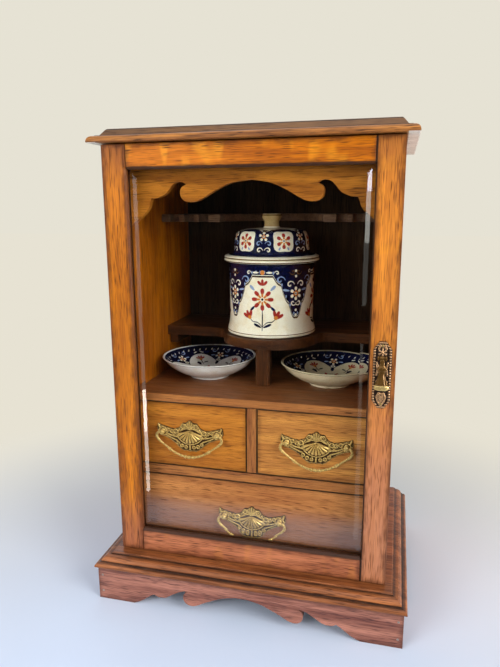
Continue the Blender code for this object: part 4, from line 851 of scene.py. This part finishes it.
class Ware:
    """The painted surface of a turned pot: a run of (radius, rise) points about an axis."""

    def __init__(self, tag, body, at, run):
        self.tag, self.body, self.at = tag, body, at
        self.run = np.array(run, float)
        self.along = np.concatenate([[0], np.cumsum(np.hypot(*np.diff(self.run, axis=0).T))])
        self.coats = {}

    def point(self, angle, s, lift):
        """A point at an angle from the front and a distance along the run, lifted off the surface."""
        r, z = (np.interp(s, self.along, self.run[:, k]) for k in (0, 1))
        r0, z0 = (np.interp(s - 0.5, self.along, self.run[:, k]) for k in (0, 1))
        r1, z1 = (np.interp(s + 0.5, self.along, self.run[:, k]) for k in (0, 1))
        size = math.hypot(r1 - r0, z1 - z0)
        r += lift * (z1 - z0) / size
        z -= lift * (r1 - r0) / size
        return (self.at[0] + r * math.sin(angle), self.at[1] - r * math.cos(angle), self.at[2] + z)

    def dab(self, angle, s, u, v, lift):
        """A point u millimetres round and v along from a place on the surface."""
        radius = max(float(np.interp(s + v, self.along, self.run[:, 0])), 4.0)
        return self.point(angle + u / radius, s + v, lift)

    def fill(self, paint, angle, s, outline, lift=0.1, rings=3):
        """A painted shape: an outline in millimetres about a place on the surface."""
        verts, faces = self.coats.setdefault(paint, ([], []))
        start = len(verts)
        count = len(outline)
        u0 = sum(u for u, v in outline) / count
        v0 = sum(v for u, v in outline) / count
        verts.append(self.dab(angle, s, u0, v0, lift))
        for share in [(n + 1) / rings for n in range(rings)]:
            verts += [self.dab(angle, s, u0 + (u - u0) * share, v0 + (v - v0) * share, lift)
                      for u, v in outline]
        for j in range(count):
            k = (j + 1) % count
            faces.append((start, start + 1 + j, start + 1 + k))
            for a in range(start + 1, len(verts) - count, count):
                faces.append((a + j, a + count + j, a + count + k, a + k))

    def stroke(self, paint, angle, s, line, width, lift=0.14):
        """A brush stroke along a line, thinner at its ends."""
        verts, faces = self.coats.setdefault(paint, ([], []))
        start = len(verts)
        last = len(line) - 1
        for i, (u, v) in enumerate(line):
            (ua, va), (ub, vb) = line[max(i - 1, 0)], line[min(i + 1, last)]
            length = math.hypot(ub - ua, vb - va)
            half = width / 2 * (0.25 + 0.75 * math.sin(math.pi * (i + 0.5) / (last + 1)))
            nu, nv = half * (va - vb) / length, half * (ub - ua) / length
            verts += [self.dab(angle, s, u + nu, v + nv, lift), self.dab(angle, s, u - nu, v - nv, lift)]
        faces += [(a, a + 1, a + 3, a + 2) for a in range(start, start + 2 * last, 2)]

    def band(self, paint, low, high, lift=0.08, rows=8, steps=240):
        """A painted band right round, between two distances that may vary with the angle."""
        verts, faces = self.coats.setdefault(paint, ([], []))
        start = len(verts)
        for i in range(steps):
            angle = math.tau * i / steps
            a, b = (edge(angle) if callable(edge) else edge for edge in (low, high))
            verts += [self.point(angle, a + (b - a) * j / rows, lift) for j in range(rows + 1)]
        for i in range(steps):
            a = start + i * (rows + 1)
            b = start + (i + 1) % steps * (rows + 1)
            faces += [(a + j, b + j, b + j + 1, a + j + 1) for j in range(rows)]

    def finish(self):
        """One piece for each paint."""
        for paint, (verts, faces) in self.coats.items():
            made = mesh_object("%s_%s_paint" % (self.tag, paint), verts, faces, PAINTS[paint])
            fix(made, self.body)


def petal(length, width, turned_by, out=0.0, u=0.0, v=0.0, points=14):
    """A leaf or petal outline, pointing up before it is turned, its root at a place."""
    shape = []
    for t in [math.tau * i / points for i in range(points)]:
        a, b = width / 2 * math.sin(t) * (0.8 + 0.2 * math.cos(t)), out + length / 2 * (1 + math.cos(t))
        shape.append((u + a * math.cos(turned_by) + b * math.sin(turned_by),
                      v + b * math.cos(turned_by) - a * math.sin(turned_by)))
    return shape


def disc(radius, u=0.0, v=0.0, points=14):
    """A round spot."""
    turns = [math.tau * i / points for i in range(points)]
    return [(u + radius * math.cos(t), v + radius * math.sin(t)) for t in turns]


def scroll(size, side, u=0.0, v=0.0, turned_by=0.0):
    """A spiral stroke that starts at a place and curls to one side."""
    line = []
    for t in [6.6 * i / 21 for i in range(22)]:
        r = size * math.exp(-0.28 * t)
        a, b = size - r * math.cos(t), r * math.sin(t)
        line.append((u + side * (a * math.cos(turned_by) + b * math.sin(turned_by)),
                     v + b * math.cos(turned_by) - a * math.sin(turned_by)))
    return line


def blossom(ware, angle, s, size, petals, outer, inner):
    """A flower seen from above: broad petals, a ring of small ones and an eye."""
    for turned_by in [math.tau * i / petals for i in range(petals)]:
        ware.fill(outer, angle, s, petal(size * 0.62, size * 3.4 / petals, turned_by, size * 0.38), 0.16)
        ware.fill(inner, angle, s, petal(size * 0.42, size * 1.9 / petals, turned_by, size * 0.12), 0.2)
    ware.fill("cream", angle, s, disc(size * 0.2), 0.23)
    ware.fill("cobalt", angle, s, disc(size * 0.11), 0.26)


jar_low, jar_high = (1000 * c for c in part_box("jar"))
JAR_AT = ((jar_low[0] + jar_high[0]) / 2, (jar_low[1] + jar_high[1]) / 2, jar_low[2])
outer = smooth_run((46, 0), (51, 0.8), (52, 2.6), (51.2, 6), (50, 11), (49.1, 18), (49, 34), (49, 60),
                   (49, 78), (49.6, 81.4), (53.6, 83), (55, 84.6), (54.6, 86), (52, 86.6), (47.2, 86.2))
inner = smooth_run((46.4, 80), (45, 70), (45, 12), (42, 7), (0, 6))
jar = lathe("jar_thrown", [(0, 0.6), (43, 0.6), *outer, *inner], JAR_AT, cream, 128, sharp=50)
fix(jar, "jar", "jar")
ware = Ware("jar", "jar", JAR_AT, outer)
PANELS = 4
panel_turn = math.tau / PANELS


def drape(angle):
    """Lower edge of the cobalt ground: deep scalloped points that hang between the flower panels."""
    t = abs((angle + panel_turn / 2) % panel_turn - panel_turn / 2) / (panel_turn / 2)
    t = max(0.0, (t - 0.3) / 0.7)
    return 74 - 46 * t * t * (2.4 - 1.4 * t) - 4.2 * abs(math.sin(t * 3 * math.pi))


ware.band("cobalt", drape, 89.2)
ware.band("cream", lambda angle: drape(angle) + 1.2, lambda angle: drape(angle) + 1.9, 0.12, 2)
ware.band("gilt", lambda angle: drape(angle) - 0.9, lambda angle: drape(angle) + 0.1, 0.12, 2)
ware.band("gilt", 91.6, 92.9, 0.1, 2)
ware.band("gilt", 8.4, 9.2, 0.1, 2)
for angle in [math.tau * (i + 0.5) / 64 for i in range(64)]:
    ware.fill("blue", angle, drape(angle) + 3, petal(3.6, 1.9, 0), 0.13)
for n in range(PANELS):
    face = panel_turn * n
    ware.stroke("cobalt", face, 14, [(0, v) for v in (0, 8, 16, 24)], 1.3)
    for side in (-1, 1):
        stem = smooth_run((0, -4), (side * 5, 1), (side * 11, 2), (side * 15, 6))
        ware.stroke("cobalt", face, 22, stem, 1.1)
        for k in (-0.6, 0, 0.6):
            ware.fill("red", face, 28, petal(9.5, 4.6, side * 0.4 + k, 0.5, side * 15, -1), 0.16)
        ware.fill("orange", face, 28, disc(2.3, side * 15, 0.5), 0.2)
        ware.fill("blue", face, 50, petal(8, 4.0, side * 0.8, 12.5), 0.13)
        ware.fill("cobalt", face, 50, petal(8, 3.6, side * 2.35, 12), 0.13)
        ware.fill("cobalt", face, 17, petal(10, 3.6, side * 1.15, 1), 0.13)
        ware.fill("red", face, 63.5, petal(7, 3.8, side * 0.75, 1), 0.15)
    blossom(ware, face, 49, 12.5, 8, "red", "orange")
    ware.fill("red", face, 63.5, petal(7.5, 3.8, 0, 0.5), 0.15)
    ware.fill("orange", face, 78.5, disc(2.6), 0.14)
    between = face + panel_turn / 2
    blossom(ware, between, 55, 7.6, 6, "cream", "orange")
    for side in (-1, 1):
        ware.stroke("cream", between, 65, scroll(5.5, side, side * 2, 0), 1.6)
        ware.stroke("cream", between, 45, scroll(4.6, side, side * 1, 0, math.pi), 1.5)
        ware.stroke("gilt", between, 79, scroll(4.4, side, side * 8, 0, math.pi), 1.3)
        ware.stroke("blue", between, 70, scroll(6.0, side, side * 13, 0), 1.6)
        ware.fill("blue", between, 57, petal(8, 3.0, side * 1.4, 8), 0.14)
        ware.fill("cream", face, 78.5, petal(7, 2.6, side * 1.57, 4), 0.14)
        ware.stroke("cream", face, 78, scroll(3.2, side, side * 13, 0), 1.3)
    for s in (31, 36.5, 74, 80):
        ware.fill("cream", between, s, disc(1.5), 0.14)
ware.finish()

LID_RIM = 6
LID_AT = (JAR_AT[0], JAR_AT[1], 1000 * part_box("jar_lid")[0][2] + LID_RIM)
dome = smooth_run((54.2, 0), (54.8, 0.9), (54.2, 2.2), (51.4, 3.2), (45.4, 4.6), (43.7, 7), (43.2, 13),
                  (42.6, 20), (41.6, 25), (39.6, 28.6), (36, 30.8), (29, 32.2), (18, 33), (10, 33.5))
knob = smooth_run((8.9, 34.8), (8.5, 37.4), (8.4, 40), (9.2, 41.8), (10.2, 43), (11, 45), (11, 47.6),
                  (10.4, 48.8), (8.6, 49.3), (0, 49.6))
under = [(0, 28.4), (26, 27.4), (36, 23), (39, 14), (40, 3), (42, 0), (42, -LID_RIM), (45.4, -LID_RIM),
         (46, 0)]
lid = lathe("jar_lid_thrown", [*under, *dome, *knob], LID_AT, cream, 128, sharp=50)
fix(lid, "jar_lid", "jar_lid")
ware = Ware("lid", "jar_lid", LID_AT, dome)


def lobed(width, height, lobes, points=48):
    """A rounded panel with a wavy edge."""
    turns = [math.tau * i / points for i in range(points)]
    waves = [1 - 0.1 * math.cos(lobes * t) for t in turns]
    return [(width / 2 * w * math.sin(t), height / 2 * w * math.cos(t)) for t, w in zip(turns, waves)]


def crown(angle):
    """Upper edge of the cobalt ground: six shallow waves round the knob."""
    return 47 - 3 * math.cos(6 * angle)


ware.band("gilt", 0.1, 1.3, 0.1, 2)
ware.band("cobalt", 7.0, crown, 0.08, 20)
ware.band("gilt", lambda angle: crown(angle) + 0.2, lambda angle: crown(angle) + 1, 0.1, 2)
for n in range(6):
    face = math.tau * (n + 0.5) / 6
    ware.fill("cream", face, 28, lobed(25, 25, 4), 0.13, 8)
    blossom(ware, face, 28, 8.6, 6, "red", "orange")
    for side in (-1, 1):
        ware.fill("blue", face, 28, petal(4, 2.4, side * 2.6, 7.6), 0.17)
    between = math.tau * n / 6
    blossom(ware, between, 33, 5.6, 5, "cream", "orange")
    for side in (-1, 1):
        ware.stroke("cream", between, 18, scroll(4.2, side, side * 0.8, 0), 1.5)
        ware.stroke("blue", between, 25, scroll(4.2, side, side * 1.5, 0), 1.4)
        ware.fill("cream", between, 39, petal(6, 2.4, side * 0.9, 2), 0.14)
        ware.stroke("gilt", between, 41, scroll(3.6, side, side * 5, 0, math.pi), 1.3)
ware.finish()
ware = Ware("knob", "jar_lid", LID_AT, knob)
ware.band("honey", 0.2, 18.0, 0.05, 24)
ware.band("gilt", 13.0, 14.0, 0.1, 2)
ware.finish()


# Dishes: two shallow footed dishes of the same thrown and glazed ware, with a dark line under the rim.
# One is white outside and one ivory. Inside they carry a deeply scalloped cobalt border with small flowers,
# and red sprigs on the ground below it.
white = glaze("white_glazed_earthenware", "ECEBE8", "DDD9CC")
ivory = glaze("ivory_glazed_earthenware", "E6D9B4", "D4C190")
for tag, ground in (("left", white), ("right", ivory)):
    node = "dish_" + tag
    low, high = (1000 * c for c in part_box(node))
    at = ((low[0] + high[0]) / 2, (low[1] + high[1]) / 2, low[2])
    bowl = smooth_run((54.6, 24.9), (53.6, 24.2), (46.5, 17), (35, 10), (22, 6.6), (10, 5.9), (0.5, 5.8))
    outside = smooth_run((23.5, 0), (24.4, 2.4), (36, 7), (48, 15), (54.8, 23.2), (56, 24.4), (55.4, 25))
    foot = [(0, 2.4), (19, 2.4), (20, 0)]
    dish = lathe("dish_%s_thrown" % tag, [*foot, *outside, *bowl], at, ground, 128, sharp=50)
    fix(dish, node, node)
    ware = Ware("dish_%s_inner" % tag, node, at, bowl)
    ware.band("cobalt", 1.6, lambda angle: 31 - 17 * abs(math.cos(2.5 * angle)), 0.08, 14)
    ware.band("gilt", 44, 44.8, 0.1, 2)
    for n in range(40):
        ware.fill("cream", math.tau * (n + 0.5) / 40, 5.6, petal(3.4, 1.5, 0.5), 0.12)
    for n in range(8):
        ware.fill("cobalt", math.tau * n / 8, 41, petal(9, 5, math.pi, 4), 0.12)
        ware.fill("red", math.tau * (n + 0.5) / 8, 40, petal(7, 4, 0, 1), 0.12)
    for n in range(5):
        face = math.tau * n / 5
        ware.stroke("cobalt", face, 24, [(0, v) for v in (0, 4, 8, 12)], 1.2)
        ware.fill("orange", face, 24, disc(2.0), 0.16)
        for k in (-0.9, -0.3, 0.3, 0.9):
            ware.fill("red", face, 24, petal(5.5, 2.8, math.pi + k, 1.6), 0.13)
        between = face + math.pi / 5
        blossom(ware, between, 17, 5.6, 5, "cream", "orange")
        for side in (-1, 1):
            ware.fill("cobalt", face, 32, petal(7, 2.8, side * 1.9, 1), 0.12)
            ware.stroke("blue", between, 8.5, scroll(4.0, side, side * 5, 0), 1.4)
            ware.stroke("cream", between, 26, scroll(3.4, side, side * 3, 0, math.pi), 1.2)
            ware.fill("blue", between, 17, petal(6, 2.4, side * 1.57, 5.6), 0.14)
            ware.fill("cream", face, 9.5, petal(5, 1.8, side * 1.2, 2), 0.13)
    ware.finish()
    ware = Ware("dish_%s_outer" % tag, node, at, list(reversed(outside)))
    ware.band("cobalt", 1.4, 2.1, -0.08, 2)
    ware.finish()
